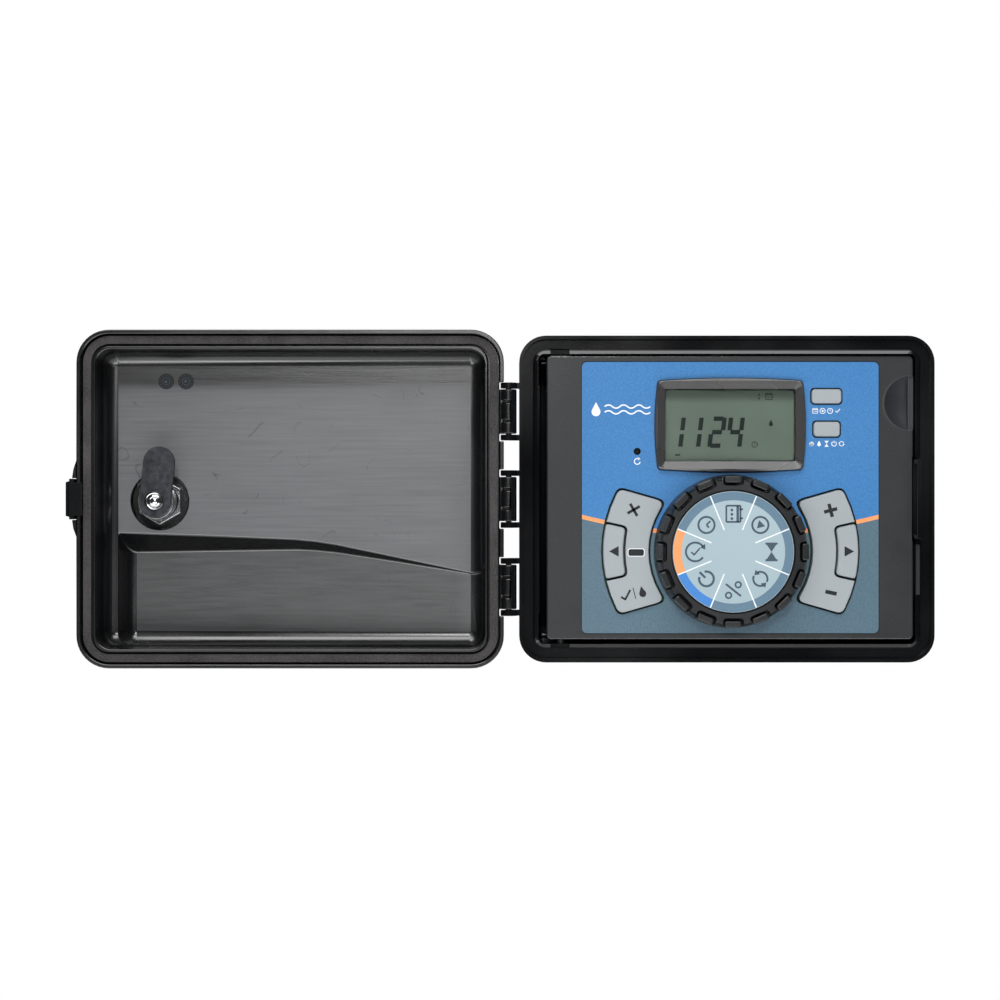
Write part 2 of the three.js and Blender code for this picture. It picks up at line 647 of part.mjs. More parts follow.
function buildFascia() {
  const outline = roundedRectangle(PANEL.left, PANEL.right, PANEL.bottom, PANEL.top, 2.6);
  let body = softPlate(outline, PANEL.skirt, PANEL.face, 0.9);
  const hollowOutline = roundedRectangle(
    PANEL.left + 2.5,
    PANEL.right - 2.5,
    PANEL.bottom + 2.5,
    PANEL.top - 2.5,
    1.5,
  );
  body = cut(body, plate(hollowOutline, PANEL.skirt - 1, PANEL.back));
  const pins = rod(PIVOT.x, PIVOT.z, PIVOT.radius, -77.3, 77.3);
  body = union([body, cut(pins, block(-120, 120, PANEL.bottom + 2, PANEL.top - 2, -20, 0))]);
  const labelBed = roundedRectangle(
    LABEL.left - 0.4,
    LABEL.right + 0.4,
    LABEL.bottom - 0.4,
    LABEL.top + 0.4,
    LABEL.corner,
  );
  body = cut(body, plate(labelBed, PANEL.face - 0.7, 0));
  const keeperRelief = block(96.6, 100, -22, 22, -20, 0);
  const dish = new THREE.SphereGeometry(20, 40, 28).rotateX(QUARTER);
  dish.translate(96.4, 50, PANEL.face + 14);
  const fingerScoop = solid(dish).intersect(block(70, 94.4, 30, 70, -9, 1));
  const underScoop = disc(95.4, 50, 15.6, -10.5, PANEL.face - 0.5, 32);
  const scoopFloor = underScoop.intersect(block(70, 96, 30, 70, -12, 0));
  const edgeStep = block(95.2, 100, 36.6, 63.8, PANEL.face - 1.2, 1);
  body = cut(union([body, scoopFloor]), keeperRelief, fingerScoop, edgeStep);
  return cut(body, ...panelOpenings(0));
}

// The holes in the panel and in its label for the screen, keys, buttons and dial.
function panelOpenings(extra) {
  const openings = [1, -1].map((side) => plate(ringKey(ROCKER, KEY_CLEARANCE + extra, 3.4, side), -15, 5));
  const screen = centredRectangle(SCREEN.x, SCREEN.y, 76 + extra, 46.4 + extra, 3);
  openings.push(plate(screen, -15, 5));
  for (const button of Object.values(BUTTONS)) {
    const grow = 2 * (0.5 + extra);
    const hole = centredRectangle(button.x, button.y, button.width + grow, button.height + grow, 2.2);
    openings.push(plate(hole, -15, 5));
  }
  openings.push(disc(RESET.x, RESET.y, RESET.hole + extra, -15, 5, 16));
  openings.push(disc(DIAL.x, DIAL.y, 9, -15, 5, 32));
  return openings;
}

function buildLabel() {
  const outline = roundedRectangle(LABEL.left, LABEL.right, LABEL.bottom, LABEL.top, LABEL.corner);
  const top = PANEL.face - 0.1;
  const sheet = plate(outline, top - LABEL.thickness, top);
  return cut(sheet, ...panelOpenings(0.2), plate(bowedFrame(0.35), -5, 5));
}

// The screen frame's outline, whose four sides bow out a little between round corners.
function bowedFrame(grow) {
  const x = SCREEN.frameWidth / 2 - SCREEN.bow + grow;
  const y = SCREEN.frameHeight / 2 - SCREEN.bow + grow;
  const r = 3;
  const bulge = 2 * SCREEN.bow;
  const at = (dx, dy) => [SCREEN.x + dx, SCREEN.y + dy];
  const shape = new THREE.Shape();
  shape.moveTo(...at(-x + r, -y));
  shape.quadraticCurveTo(...at(0, -y - bulge), ...at(x - r, -y));
  shape.quadraticCurveTo(...at(x, -y), ...at(x, -y + r));
  shape.quadraticCurveTo(...at(x + bulge, 0), ...at(x, y - r));
  shape.quadraticCurveTo(...at(x, y), ...at(x - r, y));
  shape.quadraticCurveTo(...at(0, y + bulge), ...at(-x + r, y));
  shape.quadraticCurveTo(...at(-x, y), ...at(-x, y - r));
  shape.quadraticCurveTo(...at(-x - bulge, 0), ...at(-x, -y + r));
  shape.quadraticCurveTo(...at(-x, -y), ...at(-x + r, -y));
  return shape;
}

function buildScreenFrame() {
  const flange = softPlate(bowedFrame(0), PANEL.face - 0.4, SCREEN.crest, 0.8);
  const tube = plate(centredRectangle(SCREEN.x, SCREEN.y, 75.4, 45.8, 2.7), -6.6, PANEL.face);
  const window = centredRectangle(SCREEN.x, SCREEN.y, SCREEN.width, SCREEN.height, 1.2);
  const slope = SCREEN.slope;
  const mouth = centredRectangle(SCREEN.x, SCREEN.y, SCREEN.width + 2 * slope, SCREEN.height + 2 * slope, 4.4);
  const funnel = solid(trayGeometry(mouth, SCREEN.crest + 0.1, PANEL.face + 0.2, 2.3, slope, 1));
  return cut(union([flange, tube]), plate(window, -10, 5), funnel);
}

const screenSheet = (shrink, z0, z1) => plate(
  centredRectangle(SCREEN.x, SCREEN.y, SCREEN.width - shrink, SCREEN.height - shrink, 1),
  z0,
  z1,
);

addPart(panelGroup, 'panel_fascia', buildFascia(), greyPlastic);
addPart(panelGroup, 'panel_label', buildLabel(), labelBlue);
addPart(panelGroup, 'lcd_bezel', buildScreenFrame(), material(0x2c2f33, 0.4));
addPart(panelGroup, 'lcd_window', screenSheet(0.6, -3.6, -2.8), clearLens);
addPart(panelGroup, 'lcd_glass', screenSheet(0.8, -6.4, -4.6), screenGreen);

// The board carries the screen, the dial switch and the keys' contacts.
const MAIN_BOARD = { front: -8.4, back: -10 };
function buildMainBoard() {
  const outline = roundedRectangle(-78, 84, -66, 66, 2);
  const board = plate(outline, MAIN_BOARD.back, MAIN_BOARD.front);
  return cut(board, disc(DIAL.x, DIAL.y, 5, -12, -5, 24), block(70, 90, 30, 70, -12, -5));
}
addPart(panelGroup, 'main_board', buildMainBoard(), boardGreen);

function buildSwitch() {
  const body = plate(centredRectangle(DIAL.x, DIAL.y, 24, 24, 3), MAIN_BOARD.front + GAP, -5.2);
  return cut(body, disc(DIAL.x, DIAL.y, 4.2, -20, 0, 24));
}
addPart(panelGroup, 'rotary_switch', buildSwitch(), material(0x202225, 0.5));

for (const [place, side] of [['left', -1], ['right', 1]]) {
  const mat = plate(ringKey(ROCKER, -4, 3, side), MAIN_BOARD.front + GAP, MAIN_BOARD.front + 0.9);
  addPart(panelGroup, `keypad_mat_${place}`, mat, rubberGrey);
}

const CELL = { x: 40, y: -40, radius: 10 };
function buildBackCover() {
  const c = BACK_COVER;
  const outer = tray(roundedRectangle(c.left, c.right, c.bottom, c.top, 4), c.front, c.back, 2, 2);
  const hollow = tray(
    roundedRectangle(c.left + 2, c.right - 2, c.bottom + 2, c.top - 2, 2.5),
    c.front + 1,
    c.back + 2,
    1,
    1,
  );
  const cellWell = disc(CELL.x, CELL.y, CELL.radius + 4, c.back + 1, -14, 32);
  const cellHole = disc(CELL.x, CELL.y, CELL.radius + 1.5, c.back - 1, -15.5, 32);
  const shell = cut(outer, hollow);
  return cut(union([shell, cellWell]), cellHole);
}
addPart(panelGroup, 'panel_back_cover', buildBackCover(), blackPlastic);
addPart(panelGroup, 'coin_cell', disc(CELL.x, CELL.y, CELL.radius, -19.2, -16, 28), brightMetal);

function buildCellCover() {
  const back = BACK_COVER.back;
  const cover = disc(CELL.x, CELL.y, CELL.radius + 1.2, back, back + 2.2, 32);
  return cut(cover, block(CELL.x - 6, CELL.x + 6, CELL.y - 0.8, CELL.y + 0.8, back - 1, back + 1));
}
addPart(panelGroup, 'cell_cover', buildCellCover(), blackPlastic);

// ---- keys and buttons ----
const KEY = { bottom: -5.6, top: 0.2, bevel: 0.8 };

function buildRocker(side) {
  const whole = softPlate(ringKey(ROCKER, 0, 3, side), KEY.bottom, KEY.top, KEY.bevel);
  return cut(whole, plate(ringKey(ARROW, 1.2, 2.2, side), KEY.bottom - 1, KEY.top + 1));
}

function buildArrowKey(side) {
  return softPlate(ringKey(ARROW, 0, 1.6, side), KEY.bottom, KEY.top + 0.2, KEY.bevel);
}

addPart(panelGroup, 'left_rocker', buildRocker(-1), keyGrey);
addPart(panelGroup, 'right_rocker', buildRocker(1), keyGrey);
addPart(panelGroup, 'left_arrow_key', buildArrowKey(-1), keyGrey);
addPart(panelGroup, 'right_arrow_key', buildArrowKey(1), keyGrey);

for (const [name, button] of Object.entries(BUTTONS)) {
  const outline = centredRectangle(button.x, button.y, button.width, button.height, 1.8);
  addPart(panelGroup, name, softPlate(outline, KEY.bottom, -0.7, 0.7), keyGrey);
}
addPart(panelGroup, 'reset_button', disc(RESET.x, RESET.y, RESET.radius, KEY.bottom, -3.2, 16), blackPlastic);

// ---- dial ----
function buildKnob() {
  const profile = [
    [0, -1.2],
    [DIAL.radius, -1.2],
    [DIAL.radius - 0.6, 4],
    [DIAL.radius - 1.6, DIAL.top - 2],
    [DIAL.radius - 3.2, DIAL.top],
    [DIAL.disc + 0.9, DIAL.top],
    [DIAL.disc + 0.5, DIAL.top - 1.6],
    [0, DIAL.top - 1.6],
  ].map(([radius, height]) => new THREE.Vector2(radius, height));
  const lathe = new THREE.LatheGeometry(profile, 64).rotateX(QUARTER).translate(DIAL.x, DIAL.y, 0);
  let body = solid(lathe);
  const gripAngle = (2 * Math.PI) / DIAL.grips;
  const pads = [];
  for (let grip = 0; grip < DIAL.grips; grip += 1) {
    const angle = QUARTER + grip * gripAngle;
    const turned = (tool, reach) => tool
      .rotate([0, 0, (grip * 360) / DIAL.grips])
      .translate([DIAL.x + reach * Math.cos(angle), DIAL.y + reach * Math.sin(angle), 0]);
    const pocket = plate(centredRectangle(0, 0, 10.8, 8, 1.8), 5, DIAL.top + 1, 2);
    const pad = softPlate(centredRectangle(0, 0, 8.6, 3.6, 1), 4, DIAL.top - 1.6, 0.7, 2);
    body = cut(body, turned(pocket, DIAL.radius - 1.9));
    pads.push(turned(pad, DIAL.radius - 2.6));
  }
  body = union([body, ...pads]);
  const hub = disc(DIAL.x, DIAL.y, 7.5, -4.6, -1, 32);
  const shaftHole = disc(DIAL.x, DIAL.y, 3.3, -8, 8, 20);
  return cut(union([body, hub]), shaftHole);
}

addPart(panelGroup, 'dial_knob', buildKnob(), dialGrey);
const dialFace = disc(DIAL.x, DIAL.y, DIAL.disc, DIAL.top - 1.3, DIAL.top - 0.5, 64);
addPart(panelGroup, 'dial_disc', dialFace, discBlue);
addPart(panelGroup, 'dial_shaft', disc(DIAL.x, DIAL.y, 3, -7.8, 7.6, 20), brightMetal);

// ---- turn the front frame onto the wall ----
front.rotation.x = QUARTER;
front.position.y = -CASE.depth;
const group = new THREE.Group();
group.add(front);

export default group;
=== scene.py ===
"""Looks of the wall-mounted irrigation controller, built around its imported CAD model.

Metres, +Z up. The front of the controller faces -Y and its back is on the wall plane y = 0.
"""

import json
import math

import bmesh
import bpy
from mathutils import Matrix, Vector


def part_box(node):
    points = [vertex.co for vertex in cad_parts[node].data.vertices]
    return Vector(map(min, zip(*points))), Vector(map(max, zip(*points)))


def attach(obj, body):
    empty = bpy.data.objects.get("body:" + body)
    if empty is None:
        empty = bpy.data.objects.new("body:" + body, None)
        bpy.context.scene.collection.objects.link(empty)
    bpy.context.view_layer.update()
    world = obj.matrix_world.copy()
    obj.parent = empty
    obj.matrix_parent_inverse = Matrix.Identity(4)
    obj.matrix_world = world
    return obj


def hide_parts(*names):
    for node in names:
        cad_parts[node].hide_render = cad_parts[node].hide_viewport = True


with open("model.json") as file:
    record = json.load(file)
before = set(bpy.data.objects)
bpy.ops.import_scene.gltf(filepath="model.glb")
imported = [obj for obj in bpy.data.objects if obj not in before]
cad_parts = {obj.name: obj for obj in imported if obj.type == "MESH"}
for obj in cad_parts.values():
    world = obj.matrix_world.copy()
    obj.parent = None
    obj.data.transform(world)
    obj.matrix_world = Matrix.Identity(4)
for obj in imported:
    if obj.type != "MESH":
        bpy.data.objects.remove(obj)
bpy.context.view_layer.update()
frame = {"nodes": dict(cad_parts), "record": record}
NODES = frame["nodes"]
BODIES = frame["record"]["behaviour"]["bodies"]
BODY_OF = {node: body for body, nodes in BODIES.items() for node in nodes}
SLOT_OF = {entry["node"]: entry["material_slot"] for entry in frame["record"]["subparts"]}
MM = 0.001
RIM_Y = -64 * MM
LID_FLOOR_Y = RIM_Y + 24 * MM


# ---------------------------------------------------------------- node material helpers
def srgb(red, green, blue):
    """A display colour (0 to 255) as linear values."""
    def linear(value):
        value /= 255
        return value / 12.92 if value <= 0.04045 else ((value + 0.055) / 1.055) ** 2.4
    return (linear(red), linear(green), linear(blue), 1.0)


def scaled(color, factor):
    return (color[0] * factor, color[1] * factor, color[2] * factor, 1.0)


class Look:
    """A principled material with object coordinates and the few node patterns used here."""

    def __init__(self, name, roughness=0.5, metallic=0.0, specular=0.5):
        self.material = bpy.data.materials.new(name)
        self.material.use_nodes = True
        self.tree = self.material.node_tree
        self.shader = self.tree.nodes["Principled BSDF"]
        self.shader.inputs["Roughness"].default_value = roughness
        self.shader.inputs["Metallic"].default_value = metallic
        self.shader.inputs["Specular IOR Level"].default_value = specular
        self.place = self.add("ShaderNodeTexCoord").outputs["Object"]

    def add(self, kind, **settings):
        node = self.tree.nodes.new(kind)
        for key, value in settings.items():
            setattr(node, key, value)
        return node

    def link(self, output, socket):
        self.tree.links.new(output, socket)

    def stretched(self, x, y, z):
        mapping = self.add("ShaderNodeMapping")
        mapping.inputs["Scale"].default_value = (x, y, z)
        self.link(self.place, mapping.inputs["Vector"])
        return mapping.outputs["Vector"]

    def noise(self, scale, detail=2.0, vector=None, distortion=0.0):
        node = self.add("ShaderNodeTexNoise")
        node.inputs["Scale"].default_value = scale
        node.inputs["Detail"].default_value = detail
        node.inputs["Distortion"].default_value = distortion
        self.link(vector or self.place, node.inputs["Vector"])
        return node.outputs["Fac"]

    def remap(self, value, low, high, to_low, to_high, smooth=False):
        node = self.add("ShaderNodeMapRange")
        node.interpolation_type = "SMOOTHSTEP" if smooth else "LINEAR"
        settings = (low, high, to_low, to_high)
        for socket, number in zip(("From Min", "From Max", "To Min", "To Max"), settings):
            node.inputs[socket].default_value = number
        self.link(value, node.inputs["Value"])
        return node.outputs["Result"]

    def math(self, operation, first, second):
        node = self.add("ShaderNodeMath", operation=operation)
        for socket, value in zip(node.inputs, (first, second)):
            if isinstance(value, (int, float)):
                socket.default_value = value
            else:
                self.link(value, socket)
        return node.outputs[0]

    def mix(self, factor, first, second):
        node = self.add("ShaderNodeMix", data_type="RGBA")
        self.link(factor, node.inputs["Factor"])
        color_inputs = [socket for socket in node.inputs if socket.type == "RGBA"]
        for socket, value in zip(color_inputs, (first, second)):
            if isinstance(value, tuple):
                socket.default_value = value
            else:
                self.link(value, socket)
        return [socket for socket in node.outputs if socket.type == "RGBA"][0]

    def color(self, value):
        self.link(value, self.shader.inputs["Base Color"])

    def roughness(self, value):
        self.link(value, self.shader.inputs["Roughness"])

    def parts_of(self, vector):
        """The outputs X, Y and Z of a vector."""
        node = self.add("ShaderNodeSeparateXYZ")
        self.link(vector, node.inputs["Vector"])
        return node.outputs

    def facing_front(self, low, high):
        """1 on faces that look along the piece's own -Y, 0 on those that turn away from it."""
        local = self.add("ShaderNodeVectorTransform")
        local.vector_type, local.convert_from, local.convert_to = "NORMAL", "WORLD", "OBJECT"
        self.link(self.add("ShaderNodeNewGeometry").outputs["True Normal"], local.inputs["Vector"])
        return self.remap(self.parts_of(local.outputs["Vector"])["Y"], -low, -high, 0, 1)

    def distance_from(self, spot):
        """Distance, seen from the front, from a spot given as (x, z)."""
        place = self.parts_of(self.place)
        across = self.math("SUBTRACT", place["X"], spot[0])
        up = self.math("SUBTRACT", place["Z"], spot[1])
        squares = self.math("ADD", self.math("MULTIPLY", across, across), self.math("MULTIPLY", up, up))
        return self.math("SQRT", squares, 0.0)

    def mixed_value(self, factor, first, second):
        node = self.add("ShaderNodeMix", data_type="FLOAT")
        self.link(factor, node.inputs["Factor"])
        self.link(first, node.inputs["A"])
        self.link(second, node.inputs["B"])
        return node.outputs["Result"]

    def bump(self, height, distance, strength=1.0, below=None):
        node = self.add("ShaderNodeBump")
        node.inputs["Distance"].default_value = distance
        node.inputs["Strength"].default_value = strength
        self.link(height, node.inputs["Height"])
        if below:
            self.link(below, node.inputs["Normal"])
        self.link(node.outputs["Normal"], self.shader.inputs["Normal"])
        return node.outputs["Normal"]

    def hairlines(self, scale, width, amount, seed_shift):
        """Thin curved lines here and there, 1 on a line and 0 off it."""
        mapping = self.add("ShaderNodeMapping")
        mapping.inputs["Location"].default_value = (seed_shift, seed_shift * 0.7, seed_shift * 1.3)
        self.link(self.place, mapping.inputs["Vector"])
        field = self.noise(scale, 1.0, mapping.outputs["Vector"], 0.6)
        distance = self.math("ABSOLUTE", self.math("SUBTRACT", field, 0.5), 0.0)
        line = self.remap(distance, 0.0, width, 1.0, 0.0)
        spread = self.noise(scale * 2.3, 1.0, mapping.outputs["Vector"])
        patches = self.remap(spread, 1 - amount, 1.06 - amount, 0.0, 1.0)
        return self.math("MULTIPLY", line, patches)


# ---------------------------------------------------------------- materials
def moulded_plastic(name, color, roughness, grain, depth, variation=0.18, specular=0.5):
    """Moulded plastic with a fine grain, slow colour drift and patchy gloss."""
    look = Look(name, roughness, specular=specular)
    drift = look.noise(22, 3)
    fine = look.noise(grain, 2)
    look.color(look.mix(drift, scaled(color, 1 - variation), scaled(color, 1 + variation)))
    look.roughness(look.remap(drift, 0.3, 0.7, roughness - 0.05, roughness + 0.06))
    look.bump(fine, depth)
    return look.material


def glossy_black(name, color, roughness):
    """Polished black moulding: nearly black, with slow gloss drift and a trace of orange peel."""
    look = Look(name, roughness, specular=0.6)
    drift = look.noise(14, 3)
    look.color(look.mix(look.remap(drift, 0.3, 0.7, 0, 1), scaled(color, 0.7), scaled(color, 1.3)))
    look.roughness(look.remap(drift, 0.3, 0.7, roughness - 0.05, roughness + 0.08))
    peel = look.bump(look.noise(300, 2), 0.00006, 0.25)
    look.bump(look.noise(2400, 2), 0.00002, 0.3, peel)
    return look.material


# Where the looks of the lid's plastic fade in or out. The first three pairs are depths along Y,
# then comes a distance from the lock's axis, and the last is measured down from the lid's top.
# The first two pairs bound the floor's grey, which is partly a painted sheen; the third pair and the
# closing factor give painted shade on the deep, tilted lower floor; the distance is the edge of the
# painted shade in the lock's recess; and the last pair spans the painted shade below the top wall.
LID_INSIDE = (-52.5 * MM, -50.5 * MM)
LID_OUTSIDE = (-29.5 * MM, -28.5 * MM)
LID_DEEP_FLOOR = (-39.9 * MM, -39.2 * MM)
RECESS_SHADE_EDGE = (14.8 * MM, 15.3 * MM)
TOP_WALL_SHADE_SPAN = (33 * MM, 25 * MM)
LID_DEEP_SHADE = 0.35


def lid_moulding(name, wall, floor, lock, top):
    """The lid's plastic: glossy black walls round a greyer floor that is brushed along its length.
    The floor's grey is partly its own and partly a painted sheen of the front light; faces that turn away
    keep the black.

    The lock's recess stays black as painted shade. Hairline scratches and dull patches lie on the floor
    only.
    The floor's grey is dimmed by painted shade in the deep lower part and below the lid's top wall.
    """
    look = Look(name)
    look.shader.inputs["IOR"].default_value = 1.9
    place = look.parts_of(look.place)
    flat = look.facing_front(0.988, 0.994)
    inside = look.remap(place["Y"], *LID_INSIDE, 0, 1)
    outside = look.remap(place["Y"], *LID_OUTSIDE, 1, 0)
    # clear is 0 inside the lock's recess, where the wall's black stays on the floor as painted shade.
    clear = look.remap(look.distance_from(lock), *RECESS_SHADE_EDGE, 0, 1)
    # on_floor is where the grey goes: partly the floor's own brushed tone, partly a painted sheen of the
    # front light.
    on_floor = look.math("MULTIPLY", inside, flat)
    on_floor = look.math("MULTIPLY", on_floor, look.math("MULTIPLY", clear, outside))
    streaks = look.noise(1.0, 2, look.stretched(22, 700, 700))
    fine = look.noise(1.0, 2, look.stretched(60, 2600, 2600))
    patches = look.noise(17, 4)
    clouds = look.noise(5, 2)
    wide_scratches = look.hairlines(24, 0.0035, 0.44, 1.7)
    fine_scratches = look.hairlines(45, 0.005, 0.4, 5.1)
    scratches = look.math("MAXIMUM", wide_scratches, fine_scratches)
    dull = look.remap(patches, 0.5, 0.75, 0, -0.22)
    tone = look.math("ADD", look.remap(streaks, 0.25, 0.75, 0.78, 1.16), dull)
    tone = look.math("MULTIPLY", look.math("ADD", tone, look.remap(clouds, 0.3, 0.7, -0.1, 0.1)), 0.5)
    tone = look.math("SUBTRACT", tone, look.math("MULTIPLY", scratches, 0.34))
    # Painted shade: the floor's grey fades darker towards the lid's top wall.
    full, faded = (top - drop for drop in TOP_WALL_SHADE_SPAN)
    top_wall_shade = look.remap(place["Z"], full, faded, 1, 0.2, smooth=True)
    tone = look.math("MULTIPLY", tone, top_wall_shade)
    # Painted shade: the deep, tilted lower floor is dimmed.
    tone = look.math("MULTIPLY", tone, look.remap(place["Y"], *LID_DEEP_FLOOR, 1, LID_DEEP_SHADE))
    floor_and_sheen_color = look.mix(tone, (0, 0, 0, 1), scaled(floor, 2))
    look.color(look.mix(on_floor, wall, floor_and_sheen_color))
    rougher = look.remap(patches, 0.5, 0.75, 0, 0.1)
    floor_gloss = look.math("ADD", look.remap(streaks, 0.3, 0.7, 0.38, 0.46), rougher)
    floor_gloss = look.math("MULTIPLY", floor_gloss, look.remap(top_wall_shade, 0.2, 1, 0.65, 1))
    wall_gloss = look.remap(patches, 0.3, 0.7, 0.2, 0.3)
    look.roughness(look.mixed_value(on_floor, wall_gloss, floor_gloss))
    brushed = look.math("SUBTRACT", look.math("ADD", streaks, fine), scratches)
    base = look.bump(look.noise(2600, 2), 0.00002, 0.25)
    look.bump(look.math("MULTIPLY", brushed, on_floor), 0.00003, 0.45, base)
    return look.material


def fascia_moulding(name, face, edge, scoop, scoop_radius):
    """The panel's plastic: a grained, slightly smudged front face with glossier edges.

    The finger scoop, a round dish at the free edge, has the same grain as the face; its colour is painted
    lighter to offset the shade the dish sits in.
    """
    look = Look(name)
    in_scoop = look.remap(look.distance_from(scoop), scoop_radius - 0.4 * MM, scoop_radius, 1, 0)
    flat = look.math("MAXIMUM", look.facing_front(0.97, 0.99), in_scoop)
    smudges = look.noise(30, 4)
    grain = look.noise(1400, 3)
    tone = look.mix(look.remap(smudges, 0.35, 0.7, 0, 1), scaled(face, 0.82), scaled(face, 1.18))
    speckled = look.mix(look.remap(grain, 0.4, 0.75, 0, 0.55), tone, scaled(face, 2.1))
    # Painted light: the scoop takes a much lighter colour than the face to offset the shade in the dish.
    speckled = look.mix(in_scoop, speckled, scaled(face, 2.8))
    look.color(look.mix(flat, edge, speckled))
    face_gloss = look.remap(smudges, 0.3, 0.7, 0.4, 0.54)
    edge_gloss = look.remap(smudges, 0.3, 0.7, 0.16, 0.26)
    look.roughness(look.mixed_value(flat, edge_gloss, face_gloss))
    look.bump(grain, 0.00008)
    return look.material


def printed_film(name, low, high, speckle=0.3):
    """Polyester label film: fine colour speckle from the print screen, and slightly uneven gloss."""
    look = Look(name, 0.42, specular=0.4)
    drift = look.remap(look.noise(7, 1), 0.3, 0.7, 0, 1)
    dots = look.noise(1150, 4)
    tone = look.mix(drift, low, high)
    look.color(look.mix(look.remap(dots, 0.35, 0.65, 0, speckle), tone, scaled(high, 1.7)))
    look.roughness(look.remap(dots, 0.3, 0.7, 0.36, 0.5))
    look.bump(look.noise(3200, 2), 0.000012, 0.5)
    return look.material


def ink_film(name, color, roughness=0.5):
    """Screen-printed ink: slightly uneven in tone and gloss."""
    look = Look(name, roughness, specular=0.35)
    patch = look.noise(900, 2)
    look.color(look.mix(patch, scaled(color, 0.86), scaled(color, 1.08)))
    look.roughness(look.remap(patch, 0.3, 0.7, roughness - 0.06, roughness + 0.06))
    look.bump(patch, 0.000008, 0.5)
    return look.material


def plated_metal(name, color, roughness, scratch=0.25, streaks=(700, 700, 40)):
    """Plated or brushed metal with fine directional wear."""
    look = Look(name, roughness, 1.0)
    wear = look.noise(1.0, 3, look.stretched(*streaks))
    spots = look.noise(420, 3)
    look.color(look.mix(look.remap(spots, 0.3, 0.75, 0, 1), color, scaled(color, 1 - scratch)))
    look.roughness(look.remap(wear, 0.25, 0.75, roughness * 0.7, roughness * 1.5))
    look.bump(wear, 0.00001, 0.5)
    return look.material


def foam(name, color):
    """Closed-cell foam strip."""
    look = Look(name, 0.92, specular=0.25)
    cells = look.add("ShaderNodeTexVoronoi")
    cells.inputs["Scale"].default_value = 1700
    look.link(look.place, cells.inputs["Vector"])
    dust = look.noise(60, 3)
    grain = look.noise(1100, 3)
    tone = look.mix(look.remap(dust, 0.3, 0.7, 0, 1), scaled(color, 0.6), scaled(color, 1.25))
    look.color(look.mix(look.remap(grain, 0.45, 0.75, 0, 0.6), tone, scaled(color, 2.4)))
    look.bump(cells.outputs["Distance"], 0.0003, 0.8)
    return look.material


def circuit_board(name, color):
    """Solder-masked laminate with faint tracks, a brick pattern laid out in X and Z."""
    look = Look(name, 0.35, specular=0.5)
    tracks = look.add("ShaderNodeTexBrick")
    tracks.inputs["Scale"].default_value = 46
    tracks.inputs["Mortar Size"].default_value = 0.012
    tracks.inputs["Row Height"].default_value = 0.09
    tracks.inputs["Brick Width"].default_value = 1.3
    tracks.inputs["Color1"].default_value = color
    tracks.inputs["Color2"].default_value = scaled(color, 0.9)
    tracks.inputs["Mortar"].default_value = scaled(color, 1.35)
    place = look.parts_of(look.place)
    join = look.add("ShaderNodeCombineXYZ")
    look.link(place["X"], join.inputs["X"])
    look.link(place["Z"], join.inputs["Y"])
    look.link(join.outputs["Vector"], tracks.inputs["Vector"])
    look.color(tracks.outputs["Color"])
    look.bump(tracks.outputs["Fac"], 0.00004, 0.4)
    return look.material


def wound_tape(name, color):
    """Insulating tape wrapped round a winding."""
    look = Look(name, 0.38, specular=0.5)
    wraps = look.noise(1.0, 2, look.stretched(60, 60, 1400))
    look.color(look.mix(wraps, scaled(color, 0.7), scaled(color, 1.25)))
    look.bump(wraps, 0.00012, 0.6)
    return look.material


def laminated_steel(name, color):
    """A stack of steel sheets seen on edge, with rusty patches."""
    look = Look(name, 0.45, 0.8)
    sheets = look.noise(1.0, 1, look.stretched(30, 2400, 30))
    rust = look.noise(70, 4)
    look.color(look.mix(look.remap(rust, 0.5, 0.75, 0, 0.5), color, srgb(96, 62, 40)))
    look.roughness(look.remap(sheets, 0.3, 0.7, 0.35, 0.6))
    look.bump(sheets, 0.0002, 0.7)
    return look.material


def liquid_crystal(name, color, top):
    """The grey-green of an unlit screen, with a faint haze, and a painted shadow of the bezel below its
    upper edge.
    """
    look = Look(name, 0.4, specular=0.3)
    haze = look.noise(40, 2)
    fine = look.noise(3000, 2)
    tone = look.mix(look.remap(haze, 0.3, 0.7, 0, 1), scaled(color, 0.93), scaled(color, 1.07))
    lit = look.mix(look.remap(fine, 0.3, 0.7, 0, 0.1), tone, scaled(color, 1.5))
    place = look.parts_of(look.place)
    # Painted shadow of the bezel: the screen darkens towards its upper edge.
    dim = look.remap(place["Z"], top - 7.5 * MM, top - 2.5 * MM, 0, 0.62, smooth=True)
    look.color(look.mix(dim, lit, scaled(color, 0.18)))
    look.bump(fine, 0.000008, 0.3)
    return look.material


def clear_cover(name):
    """Clear acrylic with a trace of smears."""
    look = Look(name, 0.04, specular=0.5)
    look.shader.inputs["Transmission Weight"].default_value = 1.0
    look.shader.inputs["IOR"].default_value = 1.2
    look.shader.inputs["Base Color"].default_value = (0.96, 0.98, 0.96, 1)
    smears = look.noise(35, 3)
    look.roughness(look.remap(smears, 0.4, 0.8, 0.0, 0.06))
    look.bump(smears, 0.00001, 0.2)
    return look.material


def middle(node):
    """The (x, z) middle of a CAD node's box."""
    low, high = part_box(node)
    return ((low[0] + high[0]) / 2, (low[2] + high[2]) / 2)


